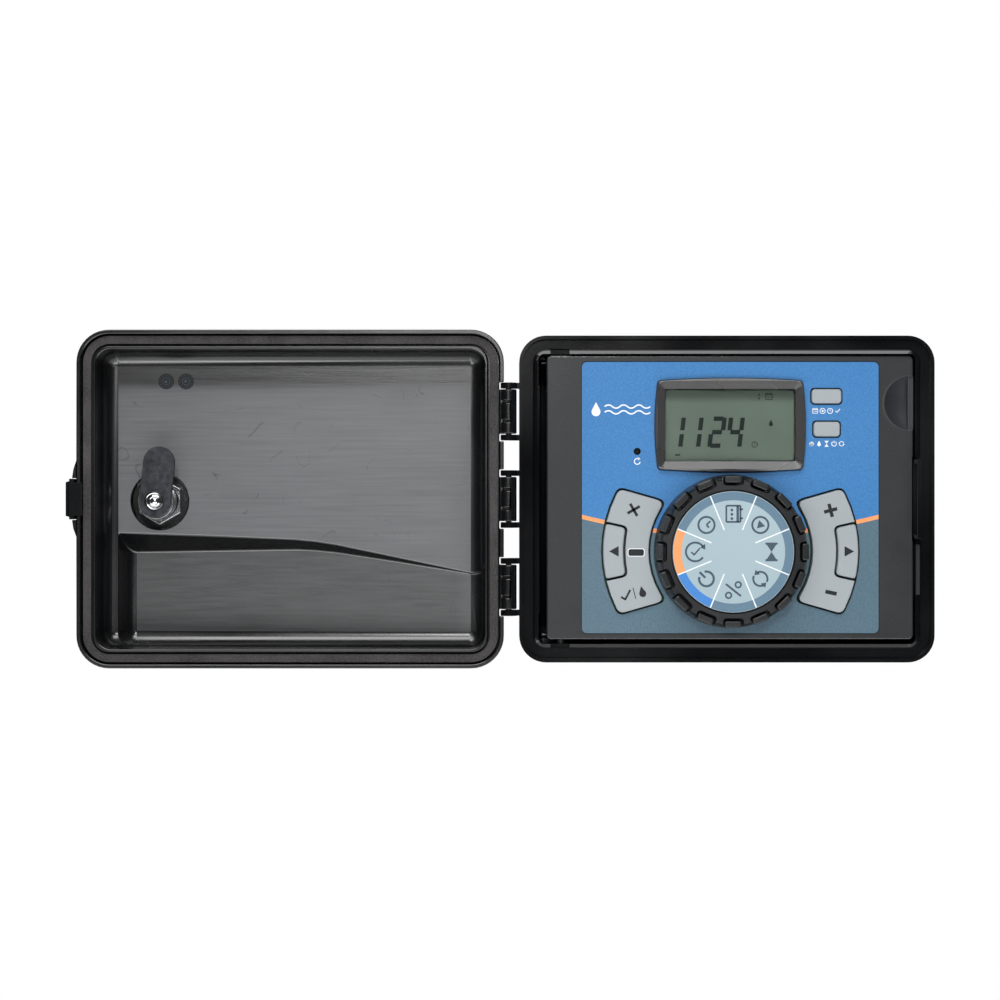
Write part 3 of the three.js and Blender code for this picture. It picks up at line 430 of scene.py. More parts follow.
BLACK = srgb(10, 11, 13)
SCOOP_PLACE = (95.4 * MM, 50 * MM)
SCOOP_RADIUS = 14.6 * MM
MATERIALS = {
    "gloss_black": glossy_black("gloss_black", BLACK, 0.16),
    "lid_black": lid_moulding(
        "lid_black", srgb(5, 6, 8), srgb(80, 82, 85), middle("lock_barrel"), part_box("lid_shell")[1][2],
    ),
    "satin_black": moulded_plastic("satin_black", srgb(24, 25, 27), 0.38, 1500, 0.00006),
    "fascia_grey": fascia_moulding(
        "fascia_grey", srgb(25, 27, 29), srgb(38, 40, 42), SCOOP_PLACE, SCOOP_RADIUS,
    ),
    "bezel_grey": moulded_plastic("bezel_grey", srgb(64, 63, 64), 0.26, 2400, 0.00004, specular=0.8),
    "foam": foam("foam", srgb(64, 62, 62)),
    "key_grey": moulded_plastic("key_grey", srgb(158, 165, 169), 0.5, 2200, 0.00002, 0.02),
    "dial_grey": moulded_plastic("dial_grey", srgb(30, 32, 34), 0.33, 1700, 0.00004),
    "disc_blue": printed_film("disc_blue", srgb(152, 173, 182), srgb(163, 183, 191), 0.03),
    "label_print": printed_film("label_sky", srgb(40, 108, 166), srgb(60, 120, 176)),
    "label_ground": printed_film("label_ground", srgb(68, 95, 110), srgb(84, 108, 122)),
    "orange_ink": ink_film("orange_ink", srgb(246, 160, 102)),
    "blue_ink": ink_film("blue_ink", srgb(68, 132, 205)),
    "slate_ink": ink_film("slate_ink", srgb(98, 126, 146)),
    "white_ink": ink_film("white_ink", srgb(238, 242, 245)),
    "legend_ink": ink_film("legend_ink", srgb(66, 84, 98)),
    "black_ink": ink_film("black_ink", srgb(26, 28, 31)),
    "segment_ink": ink_film("segment_ink", srgb(22, 34, 32), 0.35),
    "screen": liquid_crystal("screen", srgb(104, 117, 107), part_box("lcd_glass")[1][2]),
    "lens": clear_cover("lens"),
    "zinc": plated_metal("zinc", srgb(74, 75, 80), 0.42, 0.5, (90, 90, 90)),
    "chrome": plated_metal("chrome", srgb(214, 214, 216), 0.14, 0.3, (300, 300, 300)),
    "steel": plated_metal("steel", srgb(205, 205, 208), 0.2),
    "board_green": circuit_board("board_green", srgb(24, 92, 54)),
    "terminal_green": moulded_plastic("terminal_green", srgb(38, 120, 66), 0.45, 1600, 0.00003, 0.08),
    "copper_tape": wound_tape("copper_tape", srgb(206, 160, 60)),
    "rubber_grey": moulded_plastic("rubber_grey", srgb(92, 96, 99), 0.8, 1300, 0.00008),
    "iron_core": laminated_steel("iron_core", srgb(92, 94, 98)),
}


# ---------------------------------------------------------------- pieces from CAD nodes
def finish_piece(piece, body, node):
    for polygon in piece.data.polygons:
        polygon.use_smooth = True
    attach(piece, body)
    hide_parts(node)
    return piece


def welded_copy(node, name):
    """The node's shape as joined faces: shared points merged and flat areas dissolved."""
    mesh = bpy.data.meshes.new(name)
    work = bmesh.new()
    work.from_mesh(NODES[node].data)
    bmesh.ops.remove_doubles(work, verts=work.verts, dist=0.000004)
    bmesh.ops.dissolve_limit(work, angle_limit=math.radians(1.0), verts=work.verts, edges=work.edges)
    work.to_mesh(mesh)
    work.free()
    piece = bpy.data.objects.new(name, mesh)
    bpy.context.scene.collection.objects.link(piece)
    return piece


def mark_sharp(mesh, limit):
    """Edges that turn more than the limit shade as sharp ones."""
    work = bmesh.new()
    work.from_mesh(mesh)
    for edge in work.edges:
        edge.smooth = len(edge.link_faces) != 2 or edge.calc_face_angle(0.0) < limit
    work.to_mesh(mesh)
    work.free()


# The bevel of these isn't held down to what their smallest edges leave room for.
UNCLAMPED = ("lid_shell",)
SHARP_ANGLE = math.radians(32)


def softened(node, width, material=None):
    """A copy of a CAD node whose edges are rounded off by width millimetres."""
    piece = welded_copy(node, node + "_skin")
    piece.data.materials.append(MATERIALS[material or SLOT_OF[node]])
    finish_piece(piece, BODY_OF[node], node)
    mark_sharp(piece.data, SHARP_ANGLE)
    bevel = piece.modifiers.new("edges", "BEVEL")
    bevel.width = width * MM
    bevel.segments = 2
    bevel.limit_method = "ANGLE"
    bevel.angle_limit = SHARP_ANGLE
    bevel.use_clamp_overlap = node not in UNCLAMPED
    bevel.miter_outer = "MITER_ARC"
    weighted = piece.modifiers.new("shading", "WEIGHTED_NORMAL")
    weighted.weight = 60
    weighted.keep_sharp = True


DEFAULT_EDGE_WIDTH = 0.12
EDGE_WIDTHS = {
    "base_case": 0.5, "lid_shell": 0.5, "panel_fascia": 0.6, "panel_back_cover": 0.4,
    "dial_knob": 0.35, "door_latch": 0.4, "lcd_bezel": 0.25, "lock_cam": 0.4, "lock_nut": 0.35,
    "lock_barrel": 0.3, "lock_plug": 0.2, "lock_keeper": 0.35,
    "left_rocker": 0.3, "right_rocker": 0.3, "left_arrow_key": 0.3, "right_arrow_key": 0.3,
    "program_button": 0.25, "rain_delay_button": 0.25, "transformer_core": 0.3, "lid_gasket": 0.6,
    "conduit_plug": 0.5, "cable_grommet": 0.6, "cell_cover": 0.25, "panel_catch": 0.4,
}
EDGE_MATERIALS = {
    "lid_shell": "lid_black", "panel_fascia": "fascia_grey", "lcd_bezel": "bezel_grey",
    # The reset button takes the glossy black because it sits deep in its hole: painted shade.
    "reset_button": "gloss_black", "lock_keeper": "gloss_black", "door_latch": "gloss_black",
    "panel_catch": "satin_black",
}
MADE_BELOW = ("panel_label", "lock_cam_screw")
for node in NODES:
    if node not in MADE_BELOW:
        softened(node, EDGE_WIDTHS.get(node, DEFAULT_EDGE_WIDTH), EDGE_MATERIALS.get(node))


TURNED_SHARP_ANGLE = math.radians(40)


def lathed(node, profile, material, sides=48):
    """A turned piece in place of a CAD node.

    The profile runs from the front of its axis to the back: (radius, depth) in millimetres.
    """
    x, z = middle(node)
    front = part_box(node)[0][1]
    mesh = bpy.data.meshes.new(node + "_turned")
    work = bmesh.new()
    rings = []
    for radius, depth in profile[1:-1]:
        ring = []
        for side in range(sides):
            turn = 2 * math.pi * side / sides
            spot = (x + radius * MM * math.cos(turn), front + depth * MM, z + radius * MM * math.sin(turn))
            ring.append(work.verts.new(spot))
        rings.append(ring)
    tip = work.verts.new((x, front + profile[0][1] * MM, z))
    end = work.verts.new((x, front + profile[-1][1] * MM, z))
    for side in range(sides):
        following = (side + 1) % sides
        work.faces.new((tip, rings[0][side], rings[0][following]))
        work.faces.new((end, rings[-1][following], rings[-1][side]))
        for first, second in zip(rings, rings[1:]):
            work.faces.new((first[side], second[side], second[following], first[following]))
    bmesh.ops.recalc_face_normals(work, faces=work.faces)
    work.to_mesh(mesh)
    work.free()
    piece = bpy.data.objects.new(node + "_turned", mesh)
    bpy.context.scene.collection.objects.link(piece)
    mesh.materials.append(MATERIALS[material])
    finish_piece(piece, BODY_OF[node], node)
    mark_sharp(mesh, TURNED_SHARP_ANGLE)


lathed("lock_cam_screw", [
    (0, 0), (1.3, 0.05), (1.7, 0.35), (2.1, 0.35), (2.4, 0.15), (3.4, 0.45), (3.6, 0.75), (4.0, 0.75),
    (4.3, 0.6), (4.9, 1.1), (5.2, 1.8), (5.2, 2.9), (2.8, 2.9), (2.8, 9.8), (0, 9.8),
], "chrome")


# ---------------------------------------------------------------- flat shapes, in millimetres
def bar(x0, y0, x1, y1, width):
    """A straight line with square ends, as one quad."""
    along = Vector((x1 - x0, y1 - y0)).normalized() * (width / 2)
    side = Vector((-along.y, along.x))
    a, b = Vector((x0, y0)), Vector((x1, y1))
    return [[tuple(a - side), tuple(b - side), tuple(b + side), tuple(a + side)]]


def arc(x, y, radius, width, start, stop, steps=24):
    """A band along a circle, from start to stop degrees, as short quads."""
    quads = []
    for step in range(steps):
        a = math.radians(start + (stop - start) * step / steps)
        b = math.radians(start + (stop - start) * (step + 1) / steps)
        inner, outer = radius - width / 2, radius + width / 2
        quads.append([
            (x + inner * math.cos(a), y + inner * math.sin(a)),
            (x + outer * math.cos(a), y + outer * math.sin(a)),
            (x + outer * math.cos(b), y + outer * math.sin(b)),
            (x + inner * math.cos(b), y + inner * math.sin(b)),
        ])
    return quads


def dot(x, y, radius, sides=20):
    """A filled circle."""
    turn = 2 * math.pi / sides
    return [[(x + radius * math.cos(i * turn), y + radius * math.sin(i * turn)) for i in range(sides)]]


def moved(shapes, dx=0.0, dy=0.0, degrees=0.0, scale=1.0):
    """The shapes scaled and turned about (0, 0), then moved."""
    c, s = math.cos(math.radians(degrees)) * scale, math.sin(math.radians(degrees)) * scale
    return [[(dx + c * x - s * y, dy + s * x + c * y) for x, y in shape] for shape in shapes]


def outline_box(width, height, line):
    """A rectangle's outline, its middle at (0, 0)."""
    w, h = width / 2, height / 2
    sides = [(-w, -h, w, -h), (w, -h, w, h), (w, h, -w, h), (-w, h, -w, -h)]
    return [quad for side in sides for quad in bar(*side, line)]


def clock_icon():
    return arc(0, 0, 3.2, 0.8, 0, 360, 32) + bar(0, 0, 0, 2.2, 0.7) + bar(0, 0, 1.5, 0, 0.7)


def calendar_icon():
    icon = outline_box(6.4, 5.6, 0.7) + bar(-3.2, 1.7, 3.2, 1.7, 1.0)
    icon += bar(-1.8, 2.4, -1.8, 3.8, 0.7) + bar(1.8, 2.4, 1.8, 3.8, 0.7)
    return icon + dot(-1.5, -0.6, 0.55) + dot(0.2, -0.6, 0.55) + dot(1.9, -0.6, 0.55)


def start_icon():
    return arc(0, 0, 3.2, 0.8, 0, 360, 32) + [[(-1.0, -1.7), (2.0, 0.0), (-1.0, 1.7)]]


def hourglass_icon():
    icon = bar(-2.4, 3.3, 2.4, 3.3, 0.8) + bar(-2.4, -3.3, 2.4, -3.3, 0.8)
    return icon + [[(-1.9, 2.9), (0, 0), (1.9, 2.9)], [(-1.9, -2.9), (1.9, -2.9), (0, 0)]]


def repeat_icon():
    icon = arc(0, 0, 2.8, 0.8, 20, 160) + arc(0, 0, 2.8, 0.8, 200, 340)
    return icon + [[(-3.9, 1.2), (-1.4, 1.2), (-2.7, -0.7)], [(3.9, -1.2), (2.7, 0.7), (1.4, -1.2)]]


def percent_icon():
    rings = arc(-2.1, 1.9, 1.1, 0.7, 0, 360) + arc(2.1, -1.9, 1.1, 0.7, 0, 360)
    return bar(-2.4, -3.0, 2.4, 3.0, 0.8) + rings


def power_icon():
    return arc(0, 0, 2.9, 0.9, 120, 420, 32) + bar(0, 0.6, 0, 3.8, 0.9)


def tick_icon():
    return bar(-2.6, 0.0, -0.6, -2.0, 1.0) + bar(-0.9, -2.0, 3.0, 2.4, 1.0)


def automatic_icon():
    icon = arc(0, 0, 3.7, 0.8, 35, 325, 36) + [[(3.9, 3.2), (4.0, 0.9), (1.9, 1.7)]]
    return icon + moved(tick_icon(), 0, 0, 0, 0.62)


def cross_icon():
    return bar(-2.0, -2.0, 2.0, 2.0, 1.1) + bar(-2.0, 2.0, 2.0, -2.0, 1.1)


def drop_icon():
    tip = [(0.0, 3.9)]
    turns = [math.radians(degrees) for degrees in range(150, 391, 15)]
    belly = [(2.2 * math.cos(turn), -0.9 + 2.2 * math.sin(turn)) for turn in turns]
    return [tip + belly]


def cloud_icon():
    icon = dot(-1.7, 0, 1.3) + dot(0.2, 0.8, 1.8) + dot(2.0, 0, 1.2) + bar(-1.7, -0.8, 2.0, -0.8, 1.0)
    return icon + [q for x in (-1.5, 0.2, 1.9) for q in bar(x, -1.9, x - 0.5, -3.1, 0.5)]


def loop_icon():
    return arc(0, 0, 1.5, 0.5, 60, 350) + [[(0.3, 2.2), (0.3, 0.5), (1.7, 1.4)]]


def arrow_shape(direction):
    return [[(-2.0 * direction, -2.2), (-2.0 * direction, 2.2), (2.0 * direction, 0.0)]]


def seven_segments(digit, height, width, line):
    """The lit bars of one digit of a seven-segment display, its middle at (0, 0)."""
    x, y, gap = width / 2 - line / 2, height / 2 - line / 2, line * 0.22
    bars = {
        "a": (-x + gap, y, x - gap, y), "d": (-x + gap, -y, x - gap, -y), "g": (-x + gap, 0, x - gap, 0),
        "b": (x, gap * 2, x, y + gap), "c": (x, -gap * 2, x, -y - gap),
        "f": (-x, gap * 2, -x, y + gap), "e": (-x, -gap * 2, -x, -y - gap),
    }
    lit = {"1": "bc", "2": "abged", "4": "fgbc"}[digit]
    return [quad for key in lit for quad in bar(*bars[key], line)]


def slanted(shapes, slope):
    """The shapes leaning to the right by slope for each millimetre of height."""
    return [[(x + slope * y, y) for x, y in shape] for shape in shapes]


def printed(name, shapes, centre, y_front, material, body, thickness=0.04):
    """Thin raised ink: each flat shape becomes a closed plate in front of y_front."""
    mesh = bpy.data.meshes.new(name)
    work = bmesh.new()
    for shape in shapes:
        ring = [work.verts.new((centre[0] + x * MM, y_front, centre[1] + z * MM)) for x, z in shape]
        front = [work.verts.new(v.co - Vector((0, thickness * MM, 0))) for v in ring]
        count = len(ring)
        work.faces.new(ring)
        work.faces.new(front[::-1])
        for i in range(count):
            j = (i + 1) % count
            work.faces.new((ring[j], ring[i], front[i], front[j]))
    bmesh.ops.recalc_face_normals(work, faces=work.faces)
    work.to_mesh(mesh)
    work.free()
    piece = bpy.data.objects.new(name, mesh)
    bpy.context.scene.collection.objects.link(piece)
    mesh.materials.append(MATERIALS[material])
    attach(piece, body)


def front_of(node):
    """The y of a CAD node's foremost point."""
    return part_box(node)[0][1]


# ---------------------------------------------------------------- printed label
# An orange line parts the label's blue upper area from its grey lower one. Its height above the
# dial's middle is LINE_HEIGHT + LINE_CURVE * (distance across) ** 2, in metres.
dial = middle("dial_disc")
LINE_HEIGHT = 8.2 * MM
LINE_CURVE = 1.63
LINE_WIDTH = 2.2 * MM
PAST_LABEL = 0.3


def band_solid(name, low_offset, high_offset):
    """A tall solid between two copies of the label's curved line, for cutting the label."""
    low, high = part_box("panel_label")
    steps = 40
    mesh = bpy.data.meshes.new(name)
    work = bmesh.new()
    rings = []
    for step in range(steps + 1):
        x = low[0] - MM + (high[0] - low[0] + 2 * MM) * step / steps
        line = dial[1] + LINE_HEIGHT + LINE_CURVE * (x - dial[0]) ** 2
        corners = [(low[1] - MM, line + low_offset), (high[1] + MM, line + low_offset),
                   (high[1] + MM, line + high_offset), (low[1] - MM, line + high_offset)]
        rings.append([work.verts.new((x, y, z)) for y, z in corners])
    for first, second in zip(rings, rings[1:]):
        for i in range(4):
            j = (i + 1) % 4
            work.faces.new((first[i], first[j], second[j], second[i]))
    work.faces.new(rings[0][::-1])
    work.faces.new(rings[-1])
    bmesh.ops.recalc_face_normals(work, faces=work.faces)
    work.to_mesh(mesh)
    work.free()
    solid = bpy.data.objects.new(name, mesh)
    bpy.context.scene.collection.objects.link(solid)
    return solid


def cut_to(piece, solid):
    """The part of the piece inside the solid, applied to its mesh."""
    modifier = piece.modifiers.new("cut", "BOOLEAN")
    modifier.operation = "INTERSECT"
    modifier.solver = "EXACT"
    modifier.object = solid
    evaluated = piece.evaluated_get(bpy.context.evaluated_depsgraph_get())
    mesh = bpy.data.meshes.new_from_object(evaluated)
    piece.modifiers.remove(modifier)
    piece.data = mesh
    bpy.data.objects.remove(solid)


half_line = LINE_WIDTH / 2
for name, offsets, material in (
    ("label_sky", (half_line, PAST_LABEL), "label_print"),
    ("label_line", (-half_line, half_line), "orange_ink"),
    ("label_ground", (-PAST_LABEL, -half_line), "label_ground"),
):
    sheet = welded_copy("panel_label", name)
    cut_to(sheet, band_solid(name + "_cutter", *offsets))
    sheet.data.materials.clear()
    sheet.data.materials.append(MATERIALS[material])
    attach(sheet, "panel")
    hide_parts("panel_label")

label_front = front_of("panel_label")


def on_label(name, shapes, centre, material="white_ink"):
    printed(name, shapes, centre, label_front, material, "panel")


label_low, label_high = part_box("panel_label")
maker_place = (label_low[0] + 18.8 * MM, label_high[2] - 24.8 * MM)


def wave(x, y, crests):
    """A wavy line to the right of (x, y), as a run of arcs that bend up and down."""
    quads = []
    for crest in range(crests):
        start = x + 7.92 * crest
        quads += arc(start + 1.98, y - 2.0, 2.8, 0.7, 45, 135, 8)
        quads += arc(start + 5.94, y + 1.96, 2.8, 0.7, 225, 315, 8)
    return quads


waves = wave(-7, 1.6, 3) + wave(-7, -1.4, 3)
on_label("maker_mark", moved(drop_icon(), -11.5, -0.2, 0, 1.05) + waves, maker_place)
reset_x, reset_z = middle("reset_button")
on_label("reset_caption", loop_icon(), (reset_x, reset_z - 5.2 * MM))
program_row = [calendar_icon(), start_icon(), clock_icon(), tick_icon()]
rain_row = [cloud_icon(), drop_icon(), hourglass_icon(), power_icon(), repeat_icon()]
for button, icons in (("program_button", program_row), ("rain_delay_button", rain_row)):
    x, z = middle(button)
    row = []
    for place, icon in enumerate(icons):
        row += moved(icon, 3.9 * (place - (len(icons) - 1) / 2), 0, 0, 0.42)
    on_label(button + "_caption", row, (x, z - 7.6 * MM))


# ---------------------------------------------------------------- dial print
disc_front = front_of("dial_disc")
disc_low, disc_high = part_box("dial_disc")
disc_radius = (disc_high[0] - disc_low[0]) / 2 / MM
RING_INNER = 26.6
ring_outer = disc_radius - 0.3
ring_middle = (RING_INNER + ring_outer) / 2
ring_width = ring_outer - RING_INNER
SPOKE_INNER = 12.2
LEGEND_RADIUS = 19.6


def on_dial(name, shapes, material, thickness=0.04):
    printed(name, shapes, dial, disc_front, material, "dial", thickness)


SECTOR = 45
SECTOR_ICONS = {
    0: hourglass_icon, 45: start_icon, 90: calendar_icon, 135: clock_icon,
    180: automatic_icon, 225: power_icon, 270: percent_icon, 315: repeat_icon,
}
ring_colors = {180: "orange_ink", 225: "blue_ink"}
slate = []
for angle in SECTOR_ICONS:
    band = arc(0, 0, ring_middle, ring_width, angle - SECTOR / 2, angle + SECTOR / 2, 12)
    if angle in ring_colors:
        on_dial(f"dial_ring_{angle}", band, ring_colors[angle])
    else:
        slate += band
on_dial("dial_ring_slate", slate, "slate_ink")
spokes = []
for angle in SECTOR_ICONS:
    edge = math.radians(angle + SECTOR / 2)
    inner = SPOKE_INNER * math.cos(edge), SPOKE_INNER * math.sin(edge)
    outer = (disc_radius - 0.2) * math.cos(edge), (disc_radius - 0.2) * math.sin(edge)
    spokes += bar(*inner, *outer, 0.65)
on_dial("dial_spokes", spokes, "white_ink", 0.06)
legends = []
for angle, icon in SECTOR_ICONS.items():
    turn = math.radians(angle)
    spot = LEGEND_RADIUS * math.cos(turn), LEGEND_RADIUS * math.sin(turn)
    legends += moved(icon(), *spot, angle - 180, 1.3)
on_dial("dial_legends", legends, "legend_ink")


# ---------------------------------------------------------------- key prints
def on_key(name, shapes, x, z, node, material="black_ink", thickness=0.04):
    """Print on a key, its place in millimetres from the dial's middle."""
    centre = (dial[0] + x * MM, dial[1] + z * MM)
    printed(name, shapes, centre, front_of(node), material, BODY_OF[node], thickness)


def pill(width, height):
    """A filled rectangle with well rounded corners."""
    r = height / 2 * 0.6
    points = []
    for cx, cy, start in ((1, 1, 0), (-1, 1, 90), (-1, -1, 180), (1, -1, 270)):
        for step in range(5):
            a = math.radians(start + step * 22.5)
            points.append((cx * (width / 2 - r) + r * math.cos(a), cy * (height / 2 - r) + r * math.sin(a)))
    return [points]


on_key("left_arrow_print", moved(arrow_shape(-1), 0, 0, 0, 1.25), -60.8, 0, "left_arrow_key")
on_key("right_arrow_print", moved(arrow_shape(1), 0, 0, 0, 1.25), 61.6, 0, "right_arrow_key")
plus = bar(-3.5, 0, 3.5, 0, 1.8) + bar(0, 0.9, 0, 3.5, 1.8) + bar(0, -3.5, 0, -0.9, 1.8)
on_key("plus_print", moved(plus, 0, 0, 15), 51.9, 21.3, "right_rocker")
on_key("minus_print", moved(bar(-3.0, 0, 3.0, 0, 2.0), 0, 0, -12), 52.1, -21.5, "right_rocker")
on_key("select_edge", pill(8.9, 4.3), -49.2, -0.6, "left_rocker", "white_ink")
on_key("select_print", pill(8.1, 3.5), -49.2, -0.6, "left_rocker", thickness=0.06)
on_key("clear_print", moved(cross_icon(), 0, 0, -15, 1.3), -50.5, 21.6, "left_rocker")
enter = moved(tick_icon(), -4, 0, 0, 0.9) + bar(0.2, -2.6, 0.2, 2.8, 0.4)
enter += moved(drop_icon(), 4, -0.3, 0, 0.75)
on_key("enter_print", moved(enter, 0, 0, 14, 1.1), -50.3, -22.0, "left_rocker")


# ---------------------------------------------------------------- screen
glass_front = front_of("lcd_glass")
screen = middle("lcd_glass")
DIGIT_PLACES = (("1", -27.5), ("1", -18.2), ("2", -6.2), ("4", 3.3))
DIGIT_SIZE = {"height": 16.4, "width": 8.4, "line": 2.3}
digits = []
for digit, x in DIGIT_PLACES:
    digits += moved(seven_segments(digit, **DIGIT_SIZE), x, -3.6)
digits = slanted(digits, 0.12)
printed("screen_digits", digits, screen, glass_front, "segment_ink", "panel")
small = moved(calendar_icon(), 20.5, 15.0, 0, 0.55) + moved(seven_segments("1", 3.6, 2.2, 0.6), 14.5, 15.0)
small += moved(drop_icon(), 21.5, 1.0, 0, 0.5) + moved(clock_icon(), 13.0, -10.0, 0, 0.45)
small += bar(-28.5, -15.5, -26.0, -15.5, 0.8)
printed("screen_marks", small, screen, glass_front, "segment_ink", "panel")


# ---------------------------------------------------------------- parts on the terminal board
board_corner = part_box("terminal_board")[0]
CHIPS = (("driver_chip", 24, 17, 17, 7, 8), ("small_chip", 93, 15, 9, 6, 4))
CAPACITORS = ((76, 14, 4.0), (44, 13, 3.0), (104, 30, 3.2))
CAPACITOR_HEIGHT = 9


def on_board(name, work, material):
    """Turns work into a piece on the case.

    It is drawn in millimetres from the lower left corner of the board's front.
    """
    bmesh.ops.scale(work, verts=work.verts, vec=(MM, MM, MM))
    bmesh.ops.translate(work, verts=work.verts, vec=board_corner)
    bmesh.ops.recalc_face_normals(work, faces=work.faces)
    mesh = bpy.data.meshes.new(name)
    work.to_mesh(mesh)
    work.free()
    piece = bpy.data.objects.new(name, mesh)
    bpy.context.scene.collection.objects.link(piece)
    mesh.materials.append(MATERIALS[material])
    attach(piece, "case")
    return piece


def add_prism(work, outline, back, front):
    """A closed prism through the (x, z) outline, from depth back to depth front along -Y."""
    ring = [work.verts.new((x, -back, z)) for x, z in outline]
    face = [work.verts.new((x, -front, z)) for x, z in outline]
    work.faces.new(ring)
    work.faces.new(face[::-1])
    for i in range(len(outline)):
        j = (i + 1) % len(outline)
        work.faces.new((ring[j], ring[i], face[i], face[j]))


def rectangle(x, z, width, height):
    """The corners of a rectangle with its middle at (x, z)."""
    w, h = width / 2, height / 2
    return [(x - w, z - h), (x + w, z - h), (x + w, z + h), (x - w, z + h)]


def chip(name, x, z, width, height, pins):
    """A flat package with bevelled edges, and a row of legs along its top and bottom."""
    body = bmesh.new()
    add_prism(body, rectangle(x, z, width, height), 0.3, 2.3)
    bmesh.ops.bevel(body, geom=body.edges[:], offset=0.35, segments=2, affect="EDGES")
    on_board(name, body, "satin_black")
    legs = bmesh.new()
    for pin in range(pins):
        along = x + width * ((pin + 0.5) / pins - 0.5)
        for side in (-1, 1):
            add_prism(legs, rectangle(along, z + side * (height / 2 + 0.7), 0.5, 1.2), 0.05, 0.6)
    on_board(name + "_legs", legs, "steel")


def capacitor(name, x, z, radius, height, sides=32):
    """A can with a rolled groove near its foot and a slightly domed top."""
    profile = [
        (radius * 0.96, 0.1), (radius, 0.4), (radius, 1.2), (radius * 0.9, 1.6), (radius, 2.0),
        (radius, height - 0.5), (radius * 0.9, height - 0.1), (radius * 0.4, height),
    ]
    can = bmesh.new()
    rings = []
    turns = [2 * math.pi * step / sides for step in range(sides)]
    for r, depth in profile:
        rings.append([can.verts.new((x + r * math.cos(a), -depth, z + r * math.sin(a))) for a in turns])
    can.faces.new(rings[0])
    can.faces.new(rings[-1][::-1])
    for first, second in zip(rings, rings[1:]):
        for i in range(sides):
            j = (i + 1) % sides
            can.faces.new((first[i], first[j], second[j], second[i]))
    piece = on_board(name, can, "steel")
    for polygon in piece.data.polygons:
        polygon.use_smooth = len(polygon.vertices) == 4
    mark_sharp(piece.data, TURNED_SHARP_ANGLE)


for settings in CHIPS:
    chip(*settings)
for number, (x, z, radius) in enumerate(CAPACITORS):
    capacitor(f"capacitor_{number + 1}", x, z, radius, CAPACITOR_HEIGHT)


# ---------------------------------------------------------------- lid floor marks
WHEEL_X = (-295.0, -284.5)
WHEEL_Z = 62.4
for number, x in enumerate(WHEEL_X):
    centre = (x * MM, WHEEL_Z * MM)
    wheel = f"date_wheel_{number + 1}"
    printed(wheel, dot(0, 0, 4.2, 36), centre, LID_FLOOR_Y, "black_ink", "lid", 0.06)
    marks = arc(0, 0, 1.9, 0.25, 0, 360, 24) + moved(arrow_shape(1), 0, 0, 55 - 80 * number, 0.4)
    for mark in range(12):
        marks += moved(bar(2.9, 0, 3.6, 0, 0.25), 0, 0, 30 * mark + 12 * number)
    printed(wheel + "_marks", marks, centre, LID_FLOOR_Y, "legend_ink", "lid", 0.1)


# ---------------------------------------------------------------- stage, camera and light
VIEW_DISTANCE = 1.2
VIEW_WIDTH = 0.52
VIEW_CENTRE = (-0.118, -0.0005)
SENSOR_WIDTH = 36
FLOOR_Z = -0.6
FLOOR_RADIUS = 1.35


def studio_floor():
    """A round floor below the controller, with a little light of its own so that it stays pale."""
    mesh = bpy.data.meshes.new("studio_floor")
    work = bmesh.new()
    bmesh.ops.create_circle(work, cap_ends=True, segments=96, radius=FLOOR_RADIUS)
    bmesh.ops.translate(work, verts=work.verts, vec=(VIEW_CENTRE[0], 0, FLOOR_Z))
    work.to_mesh(mesh)
    work.free()
    floor = bpy.data.objects.new("studio_floor", mesh)
    bpy.context.scene.collection.objects.link(floor)
    look = Look("studio_floor", 0.8, specular=0.2)
    look.shader.inputs["Emission Color"].default_value = (0.95, 0.97, 1, 1)
    look.shader.inputs["Emission Strength"].default_value = 0.28
    mottle = look.noise(6, 2)
    look.color(look.mix(mottle, (0.78, 0.78, 0.78, 1), (0.84, 0.84, 0.84, 1)))
    look.bump(look.noise(400, 2), 0.0002, 0.2)
    mesh.materials.append(look.material)


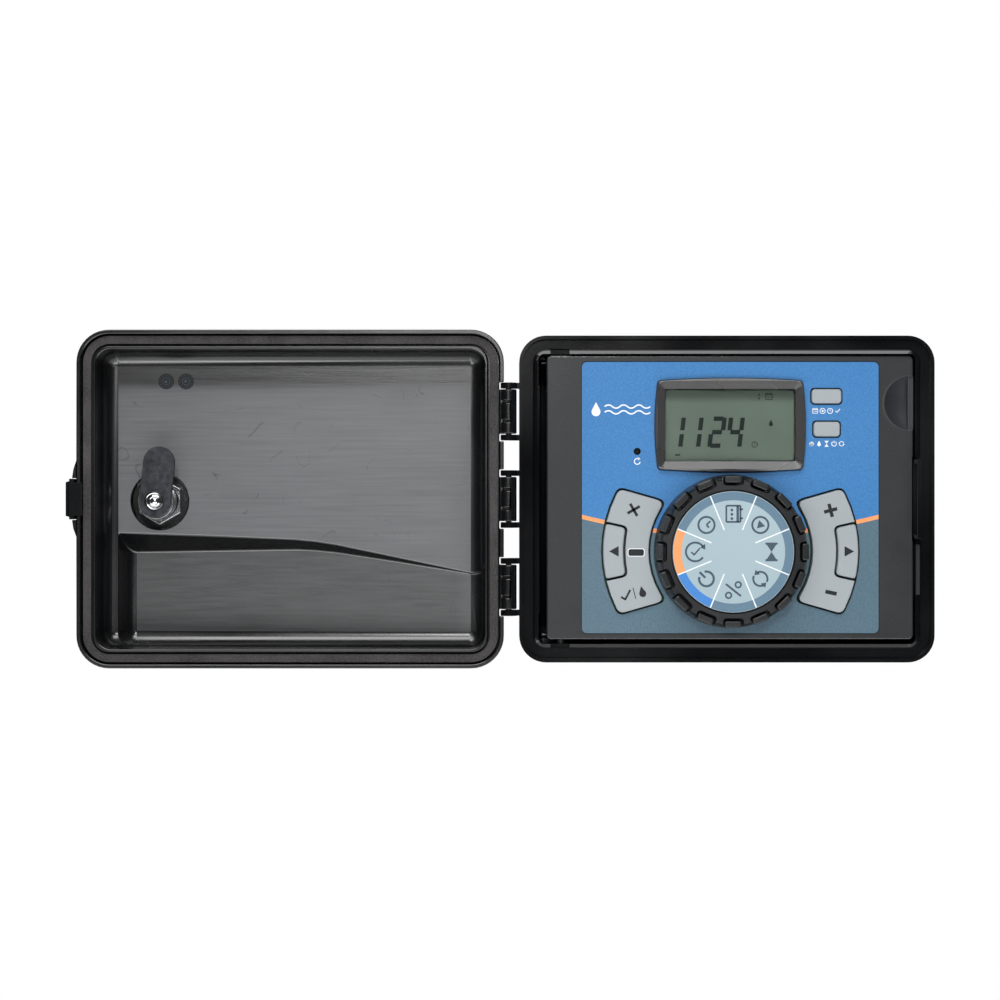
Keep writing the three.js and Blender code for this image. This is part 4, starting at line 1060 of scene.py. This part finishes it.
def softbox(name, place, target, width, height, power):
    """A rectangular area light, sizes in metres and power in watts."""
    light = bpy.data.lights.new(name, "AREA")
    light.shape = "RECTANGLE"
    light.size = width
    light.size_y = height
    light.energy = power
    lamp = bpy.data.objects.new(name, light)
    lamp.location = place
    lamp.rotation_euler = (Vector(target) - Vector(place)).to_track_quat("-Z", "Y").to_euler()
    bpy.context.scene.collection.objects.link(lamp)


def studio_world():
    """A white background to the camera, and a dim grey to everything that reflects it."""
    world = bpy.data.worlds.new("studio")
    world.use_nodes = True
    nodes, links = world.node_tree.nodes, world.node_tree.links
    nodes.clear()
    output = nodes.new("ShaderNodeOutputWorld")
    white, dim = nodes.new("ShaderNodeBackground"), nodes.new("ShaderNodeBackground")
    white.inputs["Color"].default_value = (1, 1, 1, 1)
    dim.inputs["Color"].default_value = (0.9, 0.95, 1, 1)
    dim.inputs["Strength"].default_value = 0.03
    ray = nodes.new("ShaderNodeLightPath")
    mix = nodes.new("ShaderNodeMixShader")
    links.new(ray.outputs["Is Camera Ray"], mix.inputs[0])
    links.new(dim.outputs[0], mix.inputs[1])
    links.new(white.outputs[0], mix.inputs[2])
    links.new(mix.outputs[0], output.inputs["Surface"])
    bpy.context.scene.world = world


camera_data = bpy.data.cameras.new("camera")
camera_data.sensor_width = SENSOR_WIDTH
camera_data.lens = SENSOR_WIDTH * VIEW_DISTANCE / VIEW_WIDTH
camera = bpy.data.objects.new("camera", camera_data)
camera.location = (VIEW_CENTRE[0], RIM_Y - VIEW_DISTANCE, VIEW_CENTRE[1])
camera.rotation_euler = (math.pi / 2, 0, 0)
bpy.context.scene.collection.objects.link(camera)
bpy.context.scene.camera = camera
bpy.context.scene.view_settings.view_transform = "Standard"

studio_floor()
studio_world()
for name, place, target, width, height, power in (
    ("top_light", (-0.12, -0.85, 0.95), (-0.12, -0.05, 0), 1.3, 0.6, 11),
    ("low_light", (-0.12, -0.9, -0.55), (-0.12, -0.05, 0), 1.2, 0.48, 7.5),
    ("front_light", (-0.15, -1.4, 0.45), (-0.12, -0.06, 0), 0.35, 0.25, 6),
    ("back_light", (-0.12, 1.1, 1.0), (-0.12, 0, 0), 1.4, 0.7, 16),
):
    softbox(name, place, target, width, height, power)
